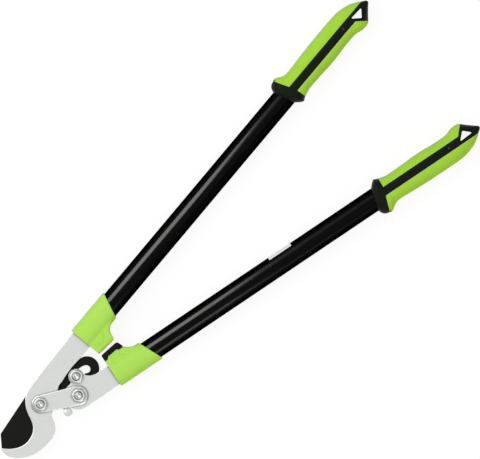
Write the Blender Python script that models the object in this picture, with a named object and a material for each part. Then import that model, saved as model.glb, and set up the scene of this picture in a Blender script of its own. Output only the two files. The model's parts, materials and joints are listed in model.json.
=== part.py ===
"""A bypass lopper with a compound drive, built as an assembly.

The hook jaw is one plate with the fixed handle. The blade turns on the main pivot behind the hook.
The moving handle's lever turns on a second pivot, held by a strap in front of the hook, and its drive
bolt runs in a slot in the blade's tail, so the blade turns more slowly than the handle.

Plans are drawn in the plane of the plates with the main pivot at the origin. +X runs from the jaws to
the grips along the line that halves the angle of the handles, and +Z points to the nuts' side.
Everything on a handle is drawn along that handle: along its axis from the foot of its pivot, then
outward, away from the other handle. The moving handle is the fixed one's mirror image.
"""

import math

import bmesh
import bpy
import numpy as np

MM = 0.001

# Clearances
GAP = 0.0003  # between faces of neighbouring pieces
SLOT_CLEARANCE = 0.00025  # drive bolt to each side of the blade's slot

# Handles and pivots
HALF_ANGLE = 8.03  # degrees, between each handle and the line that halves their angle
FIXED_AXIS_OFFSET = 0.01287  # main pivot to the fixed handle's axis
MOVING_AXIS_OFFSET = 0.00366  # lever pivot to the moving handle's axis
LEVER_PIVOT = (0.0418, -0.0232)
DRIVE_POINT = (0.0554, -0.0042)
OPENING = 82.0  # degrees that the moving handle opens from rest
CLOSING = 2.8  # degrees that it closes from rest
BUFFER_SPARE = 0.3  # degrees still left between the buffer and the lobe when closed
BLADE_RATIO = 0.29  # blade angle to handle angle

# Plates
PLATE = 0.0045
BLADE = 0.0040
STRAP = 0.0030
CHAMFER = 0.0003
STRAP_MAIN_RADIUS = 0.0107
STRAP_LEVER_RADIUS = 0.0120
LEVER_DISC_RADIUS = 0.0172
LEVER_LOBE_RADIUS = 0.0096
STOP_RADIUS = 0.0055
STOP_GAP = 0.0010  # stop lug to the lever's disc
STOP_BEARING = 196.1  # degrees, from the lever pivot to the stop lug
TAIL_RADIUS = 0.0151
TAIL_OFFSET = (0.0011, 0.0002)  # from the far end of the drive bolt's path
HUB_RADIUS = 0.0135
GROUND_WIDTH = 0.0045  # width of the bevel ground along the blade's edge
EDGE_LAND = 0.0005  # steel left at the cutting edge
TANG_OUTER = 0.0129  # tang's edge on the outer side of the handle's axis
TANG_INNER = 0.0138
TANG_NECK = 0.0090  # half width of the tang inside the tube
SPINE_SLOPE = 14.4  # degrees of the blade's back

# Bolts
BOLT_RADIUS = 0.0040
BUSH_WALL = 0.0020
HEX_HEAD = 0.0065  # half the width across the flats
HEX_HEAD_HEIGHT = 0.0053
HEX_CROWN = 0.94  # round end of a hexagon's chamfer, to half its width
NUT_HALF = 0.0078  # half a nut's width across the flats
NUT_HEIGHT = 0.0072
NUT_CHAMFER = 0.0009  # height of its corners' chamfer
NUT_MOUTH = 0.0011  # countersink round the thread
BOLT_END = 0.0018  # bolt showing past its nut
WASHER_RADIUS = 0.0095
WASHER = 0.0015
DRIVE_SHOULDER = 0.0044
LEVER_SHOULDER = 0.0050
LEVER_HEAD_RADIUS = 0.0075
LEVER_HEAD = 0.0018
DOWEL_RADIUS = 0.0025
DOWEL_DEPTH = 0.0018  # depth of its blind hole in the strap
DOWEL_PLACES = ((0.0130, 0.0050), (0.0130, -0.0045))  # along the strap, across it

# Tubes and what holds the tangs
TUBE_RADIUS = 0.0140
TUBE_WALL = 0.0012
TUBE_SEAT = 0.0067  # socket's front to the tube's end
PLUG_LENGTH = 0.0360
NECK_LENGTH = 0.0347
TANG_STEP = 0.0040  # how far the tang keeps its full width inside the socket
PIN_RADIUS = 0.0030
PIN_PLACES = (0.0190, 0.0310)  # from the socket's front

# Sockets
SOCKET_FRONT = 0.0935  # on the fixed handle
SOCKET_SETBACK = 0.0432  # how much nearer the moving socket's front is to its pivot
SOCKET_EDGE = 0.0014  # round of the sleeve's ends
SOCKET_WALL = 0.0022
SOCKET_LENGTH = 0.0545  # on the axis, to the slanted end
SLEEVE_POWER = 2.3  # of the superellipse that a socket's section is
SOCKET_SLANT = 0.443  # how far the slanted end moves along for each length outward
LOBE_HALF_THICKNESS = 0.0120
LOBE_SETBACK = 0.0004  # lobe behind the socket's front
LOBE_FACE = ((0.0025, -0.0288), (0.0235, -0.0308))  # both ends of the face that the buffer meets
BUFFER_SEAT = (
    (0.0002, -0.0206),
    (0.0047, -0.0209),
    (0.0066, -0.0237),
    (0.0202, -0.0253),
    (0.0224, -0.0232),
)
BUFFER_SEAT_GAP = 0.0005
BUFFER_HEEL = ((0.0264, -0.0306), (0.0294, -0.0233))
LOBE_CHAMFER = 0.0008
BUFFER_CHAMFER = 0.0007

# Grips
FIXED_GRIP_START = 0.4812
MOVING_GRIP_START = 0.4367
TUBE_IN_GRIP = 0.1228
GRIP_POWER = 2.5  # of the superellipse that a grip's section is
SEAT_LEAD = 0.0120  # how far ahead of the grip the form under the pads starts
OUTER_PAD_START = 0.0136  # beside the stripe, from the grip's start
OUTER_PAD_END = 0.0342  # beside the stripe, from the tube's end
OUTER_PAD_FAR_END = 0.0432
INNER_PAD_START = 0.0169
INNER_PAD_FAR_START = 0.0184
INNER_PAD_END = 0.0050  # beside the stripe, from the tube's end
OUTER_PAD_CORNER = 0.0022
INNER_PAD_CORNER = 0.0016
PAD_START_LEAN = 0.40  # how far the outer pad's start leans back for each length outward
PAD_END_LEAN = 0.90  # how far the inner pad's end leans on for each length inward
HANGING_HOLE = ((0.0038, -0.0006), (0.0222, -0.0017), (0.0131, -0.0102))  # corners, from the tube's end
HANGING_HOLE_ROUND = 0.0011
STRIPE_WALL = 0.0025  # black stripe over the tube, front and back
SEAT_WALL = 0.0012  # core over the tube, under the pads
STRIPE_OUTER = 0.0033
STRIPE_INNER = 0.0070
SCREW_BACK = 0.0120  # screw to the tube's end
SCREW_INWARD = 0.0015
SCREW_HEAD = 0.0019
SCREW_HEAD_HEIGHT = 0.0011
SCREW_SHANK = 0.0013
SCREW_LENGTH = 0.0065
SCREW_SUNK = 0.0006  # head below the stripe

CUTTER_REACH = 0.0200  # an upright cutter over and under the handles' height
ROUND = 24  # sides of a round piece, so that a hexagon's corners and flats fall on them
HOLE_SIDES = 16  # sides of a small hole or pin
GRIP_SIDES = 24  # sides of a socket's or grip's form

# The grip's form in millimetres: place along of its outer side, reach outward, reach inward, half height,
# and how much further along the inner side lies. The section is drawn for this tube.
ROWS_TUBE_RADIUS = 0.0140
COLLAR_ROWS = (
    (-3.9, 14.5, 14.5, 14.5, 7.8),
    (-2.9, 17.1, 16.2, 15.6, 8.4),
    (-1.0, 20.1, 18.8, 16.4, 9.0),
    (2.4, 22.3, 20.9, 17.2, 8.2),
    (5.6, 23.0, 21.4, 17.4, 6.8),
    (8.7, 24.0, 20.6, 17.4, 5.9),
    (12.2, 22.8, 19.7, 17.3, 4.8),
    (15.8, 20.1, 18.8, 17.3, 3.8),
    (19.4, 17.8, 18.0, 17.3, 3.2),
    (24.0, 16.8, 17.4, 17.3, 1.8),
    (31.0, 16.7, 16.8, 17.3, 0.0),
    (52.0, 17.7, 17.3, 17.3, 0.0),
    (74.0, 18.3, 18.0, 17.3, 0.0),
)
NOSE_ROWS = (
    (-24.8, 18.5, 16.9, 17.3, 0.0),
    (-10.8, 18.4, 17.0, 17.3, 0.0),
    (-4.3, 18.1, 18.0, 17.2, 0.0),
    (0.7, 17.3, 20.0, 16.9, 0.0),
    (5.7, 16.0, 20.8, 16.4, 0.0),
    (11.2, 14.1, 20.8, 15.7, 0.0),
    (15.2, 12.5, 19.2, 14.9, 0.0),
    (20.2, 9.6, 14.9, 13.6, 0.0),
    (25.2, 6.1, 10.7, 12.0, 0.0),
    (29.7, 2.3, 6.9, 10.2, 0.0),
    (32.4, 0.3, 4.8, 8.6, 0.0),
    (34.1, -1.3, 3.7, 6.8, 0.0),
)
SEAT_ROWS = (
    (6.4, 14.5, 15.2, 13.9),
    (11.2, 11.6, 15.2, 12.6),
    (17.2, 8.2, 13.6, 11.0),
    (25.2, 3.4, 8.0, 8.6),
    (30.7, 0.4, 4.4, 6.4),
)

# Heights, from the surface that the grips lie on
AXIS_HEIGHT = TUBE_RADIUS + STRIPE_WALL
PLATE_LOW = AXIS_HEIGHT - PLATE / 2
PLATE_HIGH = AXIS_HEIGHT + PLATE / 2
BLADE_HIGH = PLATE_LOW - GAP
BLADE_LOW = BLADE_HIGH - BLADE
STRAP_LOW = PLATE_HIGH + GAP
STRAP_HIGH = STRAP_LOW + STRAP

# Colours: red, green, blue, roughness, metallic
FINISHES = {
    "plate_steel": (0.66, 0.67, 0.64, 0.34, 1.0),
    "black_coating": (0.014, 0.014, 0.013, 0.42, 0.0),
    "bolt_steel": (0.55, 0.56, 0.55, 0.28, 1.0),
    "screw_black": (0.030, 0.030, 0.032, 0.45, 0.0),
    "bronze": (0.55, 0.36, 0.16, 0.35, 1.0),
    "socket_green": (0.42, 0.76, 0.12, 0.45, 0.0),
    "pad_green": (0.33, 0.60, 0.05, 0.65, 0.0),
    "grip_black": (0.016, 0.017, 0.018, 0.55, 0.0),
    "tube_black": (0.010, 0.010, 0.011, 0.22, 0.0),
    "plug_grey": (0.20, 0.20, 0.21, 0.55, 0.0),
    "rubber_black": (0.012, 0.012, 0.012, 0.70, 0.0),
}


def clear_scene():
    for item in list(bpy.data.objects):
        bpy.data.objects.remove(item, do_unlink=True)


def make_finishes():
    """One Principled material for each finish."""
    made = {}
    for name, (red, green, blue, roughness, metallic) in FINISHES.items():
        material = bpy.data.materials.new(name)
        material.use_nodes = True
        shader = material.node_tree.nodes["Principled BSDF"]
        shader.inputs["Base Color"].default_value = (red, green, blue, 1.0)
        shader.inputs["Roughness"].default_value = roughness
        shader.inputs["Metallic"].default_value = metallic
        material.diffuse_color = (red, green, blue, 1.0)
        made[name] = material
    return made


def make_pivot(name, place, parent):
    """An empty on a joint's axis, which carries the pieces that turn there."""
    pivot = bpy.data.objects.new(name, None)
    bpy.context.collection.objects.link(pivot)
    pivot.empty_display_size = 0.02
    pivot.parent = parent
    pivot.location = (place[0], place[1], AXIS_HEIGHT if parent else 0.0)
    return pivot


def plan(rows):
    """A plan's points, drawn in millimetres, as an array in metres."""
    return np.array(rows, float) * MM


def arc(centre, radius, start, end, count):
    """Points on a circle between two angles in degrees, both ends included."""
    angles = np.radians(np.linspace(start, end, count))
    return np.array(centre) + radius * np.stack([np.cos(angles), np.sin(angles)], 1)


def turned(points, degrees, centre=(0.0, 0.0)):
    """Points turned anticlockwise in the plan about a centre."""
    angle = math.radians(degrees)
    spin = np.array([[math.cos(angle), math.sin(angle)], [-math.sin(angle), math.cos(angle)]])
    return (np.asarray(points) - centre) @ spin + centre


def curve(points, steps=2):
    """A Catmull-Rom curve through points, with a few steps between each pair."""
    points = np.asarray(points)
    padded = np.vstack([2 * points[0] - points[1], points, 2 * points[-1] - points[-2]])
    spans = []
    for index in range(len(points) - 1):
        before, here, there, after = padded[index : index + 4]
        t = np.arange(steps)[:, None] / steps
        spans.append(
            here
            + 0.5 * t * (there - before)
            + 0.5 * t**2 * (2 * before - 5 * here + 4 * there - after)
            + 0.5 * t**3 * (3 * here - before - 3 * there + after)
        )
    return np.vstack(spans + [points[-1:]])


def rounded(points, radii, steps=3):
    """A polygon whose corners are rounded, each by its own radius."""
    points = np.asarray(points)
    found = []
    for index, corner in enumerate(points):
        to_last = points[index - 1] - corner
        to_next = points[(index + 1) % len(points)] - corner
        last_length, next_length = np.hypot(*to_last), np.hypot(*to_next)
        opening = math.acos(np.clip(to_last @ to_next / (last_length * next_length), -1, 1))
        reach = min(radii[index] / math.tan(opening / 2), 0.49 * last_length, 0.49 * next_length)
        if reach < 1e-6:
            found.append(corner[None])
            continue
        start = corner + to_last / last_length * reach
        end = corner + to_next / next_length * reach
        t = np.linspace(0, 1, steps + 1)[:, None]
        found.append((1 - t) ** 2 * start + 2 * t * (1 - t) * corner + t**2 * end)
    return np.vstack(found)


def anticlockwise(outline):
    """The outline listed anticlockwise."""
    x, y = outline.T
    area = x @ np.roll(y, -1) - y @ np.roll(x, -1)
    return outline if area > 0 else outline[::-1]


def inset(outline, amount):
    """An anticlockwise outline moved inward, by one amount or by an amount for each point."""
    ahead = np.roll(outline, -1, 0) - outline
    ahead /= np.hypot(*ahead.T)[:, None]
    behind = np.roll(ahead, 1, 0)
    middle = ahead + behind
    middle /= np.hypot(*middle.T)[:, None]
    inward = np.stack([-middle[:, 1], middle[:, 0]], 1)
    stretch = np.maximum(np.sum(middle * ahead, 1), 0.5)
    return outline + inward * (np.broadcast_to(amount, len(outline)) / stretch)[:, None]


def foot(side):
    """Where a handle's axis starts: the foot of its pivot on the axis."""
    angle = math.radians(HALF_ANGLE)
    if side == "fixed":
        return np.array([-math.sin(angle), math.cos(angle)]) * FIXED_AXIS_OFFSET
    return np.array(LEVER_PIVOT) - np.array([math.sin(angle), math.cos(angle)]) * MOVING_AXIS_OFFSET


def on_handle(side, points):
    """Plan points given along a handle and outward from its axis, as assembly points."""
    points = np.asarray(points, float)
    angle = math.radians(HALF_ANGLE)
    mirror = 1 if side == "fixed" else -1
    along = np.array([math.cos(angle), mirror * math.sin(angle)])
    outward = np.array([-math.sin(angle), mirror * math.cos(angle)])
    return foot(side) + points[:, :1] * along + points[:, 1:2] * outward


def on_handle_3d(side, points):
    """Points given along a handle, outward, and above its axis."""
    flat = on_handle(side, points[:, :2])
    return np.column_stack([flat, points[:, 2] + AXIS_HEIGHT])


def rings_to_mesh(rings, closed=False):
    """Vertices and faces of a skin over equal rings, capped unless the rings close on themselves."""
    count, sides = len(rings), len(rings[0])
    faces = []
    for row in range(count if closed else count - 1):
        here, there = row * sides, (row + 1) % count * sides
        for side in range(sides):
            after = (side + 1) % sides
            faces.append((here + side, here + after, there + after, there + side))
    if not closed:
        faces.append(tuple(reversed(range(sides))))
        faces.append(tuple(range((count - 1) * sides, count * sides)))
    return np.vstack(rings), faces


class Assembly:
    """Makes each piece under the empty that carries it."""

    def __init__(self):
        self.finishes = make_finishes()
        self.root = make_pivot("lopper", (0.0, 0.0), None)
        self.pivots = {
            "fixed": make_pivot("fixed_handle_frame", (0.0, 0.0), self.root),
            "blade": make_pivot("blade_pivot", (0.0, 0.0), self.root),
            "moving": make_pivot("moving_handle_pivot", LEVER_PIVOT, self.root),
        }

    def piece(self, name, shape, finish, body):
        """A named solid, with its origin on its body's joint axis."""
        vertices, faces = shape
        pivot = self.pivots[body]
        mesh = bpy.data.meshes.new(name)
        mesh.from_pydata((vertices - np.array(pivot.location)).tolist(), [], faces)
        work = bmesh.new()
        work.from_mesh(mesh)
        bmesh.ops.recalc_face_normals(work, faces=work.faces)
        if work.calc_volume(signed=True) < 0:
            bmesh.ops.reverse_faces(work, faces=work.faces)
        work.to_mesh(mesh)
        work.free()
        mesh.shade_smooth()
        mesh.set_sharp_from_angle(angle=math.radians(32))
        if finish:
            mesh.materials.append(self.finishes[finish])
        item = bpy.data.objects.new(name, mesh)
        bpy.context.collection.objects.link(item)
        item.parent = pivot
        return item

    def cutter(self, name, shape, body):
        """A shape that only cuts or joins others."""
        item = self.piece(name, shape, None, body)
        item.hide_render = True
        item.display_type = "WIRE"
        return item


def combine(item, other, operation="DIFFERENCE"):
    """Adds an exact Boolean with another object."""
    step = item.modifiers.new(operation.title() + " " + other.name, "BOOLEAN")
    step.operation = operation
    step.solver = "EXACT"
    step.object = other


def prism(outline, low, high, chamfer=0.0):
    """An outline raised between two heights, with its rims chamfered."""
    outline = anticlockwise(outline)
    inner = inset(outline, chamfer)
    levels = [(inner, low), (outline, low + chamfer), (outline, high - chamfer), (inner, high)]
    if not chamfer:
        levels = [(outline, low), (outline, high)]
    rings = [np.column_stack([ring, np.full(len(ring), height)]) for ring, height in levels]
    return rings_to_mesh(rings)


def turned_solid(rows, centre, closed=False, sides=ROUND):
    """Rows of radius and height, and hex where the row is one, spun about an upright axis.

    A hex row's radius is half its width across the flats.
    """
    angles = 2 * math.pi * np.arange(sides) / sides
    to_flat = np.cos((angles + math.pi / 6) % (math.pi / 3) - math.pi / 6)
    rings = []
    for radius, height, *shape in rows:
        reach = radius / to_flat if shape else np.full(sides, radius)
        ring = np.column_stack([reach * np.cos(angles), reach * np.sin(angles), np.full(sides, height)])
        rings.append(ring + (centre[0], centre[1], 0.0))
    return rings_to_mesh(rings, closed)


def holes(places, radius, low, high):
    """Upright round cutters at several places, as one shape."""
    vertices, faces, used = [], [], 0
    for place in places:
        points, found = prism(arc(place, radius, 0, 360 - 360 / HOLE_SIDES, HOLE_SIDES), low, high)
        vertices.append(points)
        faces += [tuple(index + used for index in face) for face in found]
        used += len(points)
    return np.vstack(vertices), faces


def handle_ring(side, along, width, height, count=ROUND, slant=0.0, power=2.0, centre=0.0, flat=None):
    """A ring round a handle: a superellipse of two half sizes.

    Its plane may lean, and it may be cut flat at a height above and below the axis.
    """
    angles = 2 * math.pi * (np.arange(count) + 0.5) / count
    cosine, sine = np.cos(angles), np.sin(angles)
    outward = centre + width * np.sign(cosine) * np.abs(cosine) ** (2 / power)
    above = height * np.sign(sine) * np.abs(sine) ** (2 / power)
    if flat is not None:
        above = np.clip(above, -flat, flat)
    return on_handle_3d(side, np.column_stack([along + slant * outward, outward, above]))


def handle_rod(side, start, end, radius, count=ROUND):
    """A round rod along a handle's axis."""
    return rings_to_mesh([handle_ring(side, along, radius, radius, count) for along in (start, end)])


def handle_pipe(side, start, end, radius, inner):
    """A pipe along a handle's axis."""
    rows = ((start, radius), (end, radius), (end, inner), (start, inner))
    return rings_to_mesh([handle_ring(side, along, size, size) for along, size in rows], closed=True)


def handle_block(side, start, end, inner, outer, half_height):
    """A box in a handle's frame, between two distances along and two outward."""
    corners = on_handle(side, [(start, inner), (end, inner), (end, outer), (start, outer)])
    return prism(corners, AXIS_HEIGHT - half_height, AXIS_HEIGHT + half_height)


def socket_front(side):
    return SOCKET_FRONT if side == "fixed" else SOCKET_FRONT - SOCKET_SETBACK


def grip_start(side):
    return FIXED_GRIP_START if side == "fixed" else MOVING_GRIP_START


def tang_outline(side):
    """The tang from its inner edge round its neck to its outer edge, seen on a handle."""
    step = socket_front(side) + TANG_STEP
    neck = step + NECK_LENGTH
    rows = [(step, -TANG_INNER), (step, -TANG_NECK), (neck, -TANG_NECK)]
    rows += [(neck, TANG_NECK), (step, TANG_NECK), (step, TANG_OUTER)]
    return on_handle(side, rows)


def hook_outline():
    """The hook jaw, its stop lug and its tang, anticlockwise from the hook's tip."""
    outer = plan([
        (-72.2, -8.8), (-73.2, -13.5), (-72.6, -19.5), (-67.6, -27.3), (-61, -33.4), (-54, -38.0),
        (-45, -41.0), (-35, -42.2), (-25, -42.0), (-15, -39.9), (-7.5, -35.6), (-3, -29.3), (-0.2, -21.5),
        (2.6, -17.2),
    ])
    neck = plan([(7.5, -15.8), (13.4, -17.0), (16.4, -20.4)])
    bearing = math.radians(STOP_BEARING)
    reach = LEVER_DISC_RADIUS + STOP_GAP + STOP_RADIUS
    stop_centre = np.array(LEVER_PIVOT) + reach * np.array([math.cos(bearing), math.sin(bearing)])
    stop = arc(stop_centre, STOP_RADIUS, 112, 366, 18)
    beside_lever = arc(LEVER_PIVOT, LEVER_DISC_RADIUS + 3 * GAP, 182, 164, 4)
    under_strap = plan([(22.4, -11.5), (22.7, -7.4), (24.9, -4.2), (27.4, -1.5)])
    lower = plan([(29.8, 1.4), (38, 2.9), (45, 4.8), (52, 6.5), (62, 8.2), (74, 9.5)])
    upper = plan([(50, 32.0), (30, 28.6), (12, 25.2), (2, 22.9), (-4.6, 20.9)])
    jaw = plan([
        (-8.2, 18.5), (-12.2, 14.4), (-15.6, 9.6), (-18.2, 4.6), (-20.1, -1.0), (-21.6, -6.5),
        (-24.6, -13.2), (-29.2, -18.4), (-35.4, -21.9), (-43.0, -23.6), (-50.5, -23.0), (-57.6, -20.3),
        (-64.8, -15.3), (-71.4, -8.2),
    ])
    return np.vstack([
        curve(outer)[:-1], curve(neck), stop, beside_lever, curve(under_strap), curve(lower)[1:],
        tang_outline("fixed"), curve(upper), curve(jaw, 3),
    ])


def lever_outline():
    """The lever: a disc round its pivot, a lobe round the drive bolt and the tang, anticlockwise."""
    low = arc(LEVER_PIVOT, LEVER_DISC_RADIUS, 84, 263, 20)
    tang = tang_outline("moving")[::-1]
    inner = plan([(85, -19.6), (79.5, -18.5), (74.5, -17.4), (69.8, -15.2), (66.2, -11.8)])
    lobe = arc(DRIVE_POINT, LEVER_LOBE_RADIUS, -24, 186, 14)
    return np.vstack([low, tang, curve(inner), lobe])


def strap_outline():
    """Two round ends and the straight sides that touch both."""
    length = math.hypot(*LEVER_PIVOT)
    heading = math.degrees(math.atan2(LEVER_PIVOT[1], LEVER_PIVOT[0]))
    lean = math.degrees(math.asin((STRAP_LEVER_RADIUS - STRAP_MAIN_RADIUS) / length))
    main = arc((0, 0), STRAP_MAIN_RADIUS, heading + 90 + lean, heading + 270 - lean, 15)
    lever = arc(LEVER_PIVOT, STRAP_LEVER_RADIUS, heading - 90 - lean, heading + 90 + lean, 15)
    return np.vstack([main, lever])


def drive_path():
    """Where the drive bolt runs in the blade, from the handle closed to the handle fully open."""
    angles = np.linspace(-CLOSING, OPENING, 60)
    drive = [turned([DRIVE_POINT], -angle, LEVER_PIVOT)[0] for angle in angles]
    return np.array([turned([point], BLADE_RATIO * angle)[0] for point, angle in zip(drive, angles)])


def slot_outline():
    """The slot that clears the drive bolt all along its path: the path's envelope along its chord."""
    path = drive_path()
    chord = path[-1] - path[0]
    heading = math.degrees(math.atan2(chord[1], chord[0]))
    flat = turned(path, -heading)
    radius = DRIVE_SHOULDER + SLOT_CLEARANCE
    low, high = flat[:, 0].min() - radius, flat[:, 0].max() + radius
    along = (low + high) / 2 - (high - low) / 2 * np.cos(np.linspace(0, math.pi, 23)[1:-1])
    reach = radius**2 - (along[:, None] - flat[:, 0]) ** 2
    lift = np.sqrt(np.maximum(reach, 0))
    touched = reach > 0
    top = np.where(touched, flat[:, 1] + lift, -1).max(1)
    bottom = np.where(touched, flat[:, 1] - lift, 1).min(1)
    near, far = [[low, flat[flat[:, 0].argmin(), 1]]], [[high, flat[flat[:, 0].argmax(), 1]]]
    below, above = np.column_stack([along, bottom]), np.column_stack([along, top])
    return turned(np.vstack([near, below, far, above[::-1]]), heading)


def blade_outline():
    """The blade anticlockwise from its nose, and how many of its points lie on the cutting edge."""
    edge = curve(plan([
        (-71.6, -8.6), (-70.2, -12.4), (-65.8, -18.2), (-60, -22.6), (-53, -25.8), (-45.5, -27.3),
        (-38, -26.8), (-31, -24.3), (-24.5, -20.4), (-18.5, -16.0), (-13.6, -12.2),
    ]), 3)
    hub = arc((0, 0), HUB_RADIUS, 232, 300, 6)
    lower = plan([(14, -12.6), (30, -14.2), (48, -16.9), (60, -18.9)])
    path = drive_path()
    tail = arc(path[path[:, 0].argmax()] + TAIL_OFFSET, TAIL_RADIUS, -96, 90, 18)
    upper = curve(plan([(60, 10.6), (45, 12.6), (28, 15.9), (14, 19.2), (3, 20.9)]))
    spine_end = np.array([[-0.0608, 0.0056]])
    run = 0.052
    spine = spine_end + [[run, run * math.tan(math.radians(SPINE_SLOPE))]]
    return np.vstack([edge, hub, lower, tail, upper, spine, spine_end]), len(edge)


def cutting_blade_shape():
    """The blade, flat in front and ground behind along its edge."""
    outline, edge_count = blade_outline()
    place = np.linspace(0, 1, edge_count)
    ground = np.full(len(outline), CHAMFER)
    rise = np.full(len(outline), CHAMFER)
    fade = np.clip(np.minimum(place / 0.08, (1 - place) / 0.12), 0, 1)
    ground[:edge_count] += (GROUND_WIDTH - CHAMFER) * fade
    rise[:edge_count] += (BLADE - EDGE_LAND - 2 * CHAMFER) * fade
    rings = [
        np.column_stack([inset(outline, ground), np.full(len(outline), BLADE_LOW)]),
        np.column_stack([outline, BLADE_LOW + rise]),
        np.column_stack([outline, np.full(len(outline), BLADE_HIGH - CHAMFER)]),
        np.column_stack([inset(outline, CHAMFER), np.full(len(outline), BLADE_HIGH)]),
    ]
    return rings_to_mesh(rings)


def washer_shape(centre, high):
    """A plain washer below a height."""
    hole = BOLT_RADIUS + GAP
    low = high - WASHER
    rows = [(hole, low), (WASHER_RADIUS, low), (WASHER_RADIUS, high)]
    return turned_solid(rows + [(hole, high)], centre, closed=True)


def nut_shape(centre, low):
    """A hexagon nut with chamfered corners and a countersunk mouth."""
    hole = BOLT_RADIUS + GAP
    high = low + NUT_HEIGHT
    crown = NUT_HALF * HEX_CROWN
    rows = [
        (hole, low),
        (crown, low),
        (NUT_HALF, low + CHAMFER * 2, "hex"),
        (NUT_HALF, high - NUT_CHAMFER, "hex"),
        (crown, high),
        (hole + NUT_MOUTH, high),
        (hole, high - NUT_MOUTH),
    ]
    return turned_solid(rows, centre, closed=True)


def hex_bolt_shape(centre, head_high, end, shoulder=()):
    """A bolt with its hexagon head below, the rows of its shoulder if it has one, and its threaded end."""
    head_low = head_high - HEX_HEAD_HEIGHT
    rows = [
        (HEX_HEAD * HEX_CROWN, head_low),
        (HEX_HEAD, head_low + CHAMFER * 2, "hex"),
        (HEX_HEAD, head_high, "hex"),
        (BOLT_RADIUS, head_high),
        *shoulder,
        (BOLT_RADIUS, end - CHAMFER * 2),
        (BOLT_RADIUS - CHAMFER * 2, end),
    ]
    return turned_solid(rows, centre)


def build_head(made):
    """Plates, strap, dowels and the three bolted joints."""
    hook_shape = prism(hook_outline(), PLATE_LOW, PLATE_HIGH, CHAMFER)
    hook = made.piece("hook_plate", hook_shape, "plate_steel", "fixed")
    strap_shape = prism(strap_outline(), STRAP_LOW, STRAP_HIGH, CHAMFER)
    strap = made.piece("link_strap", strap_shape, "plate_steel", "fixed")
    lever_shape = prism(lever_outline(), PLATE_LOW, PLATE_HIGH, CHAMFER)
    lever = made.piece("lever_plate", lever_shape, "plate_steel", "moving")
    blade = made.piece("cutting_blade", cutting_blade_shape(), "black_coating", "blade")

    over, under = AXIS_HEIGHT + CUTTER_REACH, AXIS_HEIGHT - CUTTER_REACH
    hole = BOLT_RADIUS + GAP
    pivots = [(0.0, 0.0), LEVER_PIVOT]
    combine(strap, made.cutter("strap_holes_cutter", holes(pivots, hole, under, over), "fixed"))
    combine(hook, made.cutter("hook_hole_cutter", holes(pivots[:1], hole, under, over), "fixed"))
    bush_radius = BOLT_RADIUS + GAP + BUSH_WALL
    bush_hole = holes(pivots[:1], bush_radius + GAP, under, over)
    combine(blade, made.cutter("blade_hole_cutter", bush_hole, "blade"))
    combine(blade, made.cutter("blade_slot_cutter", prism(slot_outline(), under, over), "blade"))

    heading = math.degrees(math.atan2(LEVER_PIVOT[1], LEVER_PIVOT[0]))
    places = turned(DOWEL_PLACES, heading)
    dowel_end = STRAP_LOW + DOWEL_DEPTH
    for number, place in enumerate(places, 1):
        shape = holes([place], DOWEL_RADIUS, PLATE_LOW, dowel_end - GAP)
        made.piece(f"link_dowel_{number}", shape, "bolt_steel", "fixed")
    combine(hook, made.cutter("hook_dowel_cutter", holes(places, DOWEL_RADIUS + GAP, under, over), "fixed"))
    blind = holes(places, DOWEL_RADIUS + GAP, under, dowel_end)
    combine(strap, made.cutter("strap_dowel_cutter", blind, "fixed"))

    lever_hole = holes([LEVER_PIVOT], LEVER_SHOULDER + GAP, under, over)
    combine(lever, made.cutter("lever_hole_cutter", lever_hole, "moving"))
    counterbore = holes([LEVER_PIVOT], LEVER_HEAD_RADIUS + GAP, under, PLATE_LOW + LEVER_HEAD + GAP)
    combine(lever, made.cutter("lever_counterbore_cutter", counterbore, "moving"))
    drive_hole = holes([DRIVE_POINT], DRIVE_SHOULDER + GAP, under, over)
    combine(lever, made.cutter("drive_hole_cutter", drive_hole, "moving"))

    washer_high = BLADE_LOW - GAP
    head_high = washer_high - WASHER - GAP
    strap_nut = STRAP_HIGH + GAP
    plate_nut = PLATE_HIGH + GAP
    strap_bolt_end = strap_nut + NUT_HEIGHT + BOLT_END
    plate_bolt_end = plate_nut + NUT_HEIGHT + BOLT_END

    made.piece("pivot_washer", washer_shape((0, 0), washer_high), "bolt_steel", "fixed")
    main = hex_bolt_shape((0, 0), head_high, strap_bolt_end)
    made.piece("pivot_bolt", main, "bolt_steel", "fixed")
    made.piece("pivot_nut", nut_shape((0, 0), strap_nut), "bolt_steel", "fixed")
    bush = [(hole, BLADE_LOW), (bush_radius, BLADE_LOW), (bush_radius, BLADE_HIGH), (hole, BLADE_HIGH)]
    made.piece("pivot_bush", turned_solid(bush, (0, 0), closed=True), "bronze", "fixed")

    lever_rows = [
        (LEVER_HEAD_RADIUS, PLATE_LOW),
        (LEVER_HEAD_RADIUS, PLATE_LOW + LEVER_HEAD),
        (LEVER_SHOULDER, PLATE_LOW + LEVER_HEAD),
        (LEVER_SHOULDER, PLATE_HIGH),
        (BOLT_RADIUS, PLATE_HIGH),
        (BOLT_RADIUS, strap_bolt_end - CHAMFER * 2),
        (BOLT_RADIUS - CHAMFER * 2, strap_bolt_end),
    ]
    made.piece("lever_bolt", turned_solid(lever_rows, LEVER_PIVOT), "bolt_steel", "fixed")
    made.piece("lever_nut", nut_shape(LEVER_PIVOT, strap_nut), "bolt_steel", "fixed")

    drive_washer = washer_shape(DRIVE_POINT, washer_high)
    made.piece("drive_washer", drive_washer, "bolt_steel", "moving")
    shoulder = [
        (BOLT_RADIUS, BLADE_LOW),
        (DRIVE_SHOULDER, BLADE_LOW),
        (DRIVE_SHOULDER, PLATE_HIGH - GAP),
        (BOLT_RADIUS, PLATE_HIGH - GAP),
    ]
    drive = hex_bolt_shape(DRIVE_POINT, head_high, plate_bolt_end, shoulder)
    made.piece("drive_bolt", drive, "bolt_steel", "moving")
    made.piece("drive_nut", nut_shape(DRIVE_POINT, plate_nut), "bolt_steel", "moving")
    return {"fixed": hook, "moving": lever}


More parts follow.
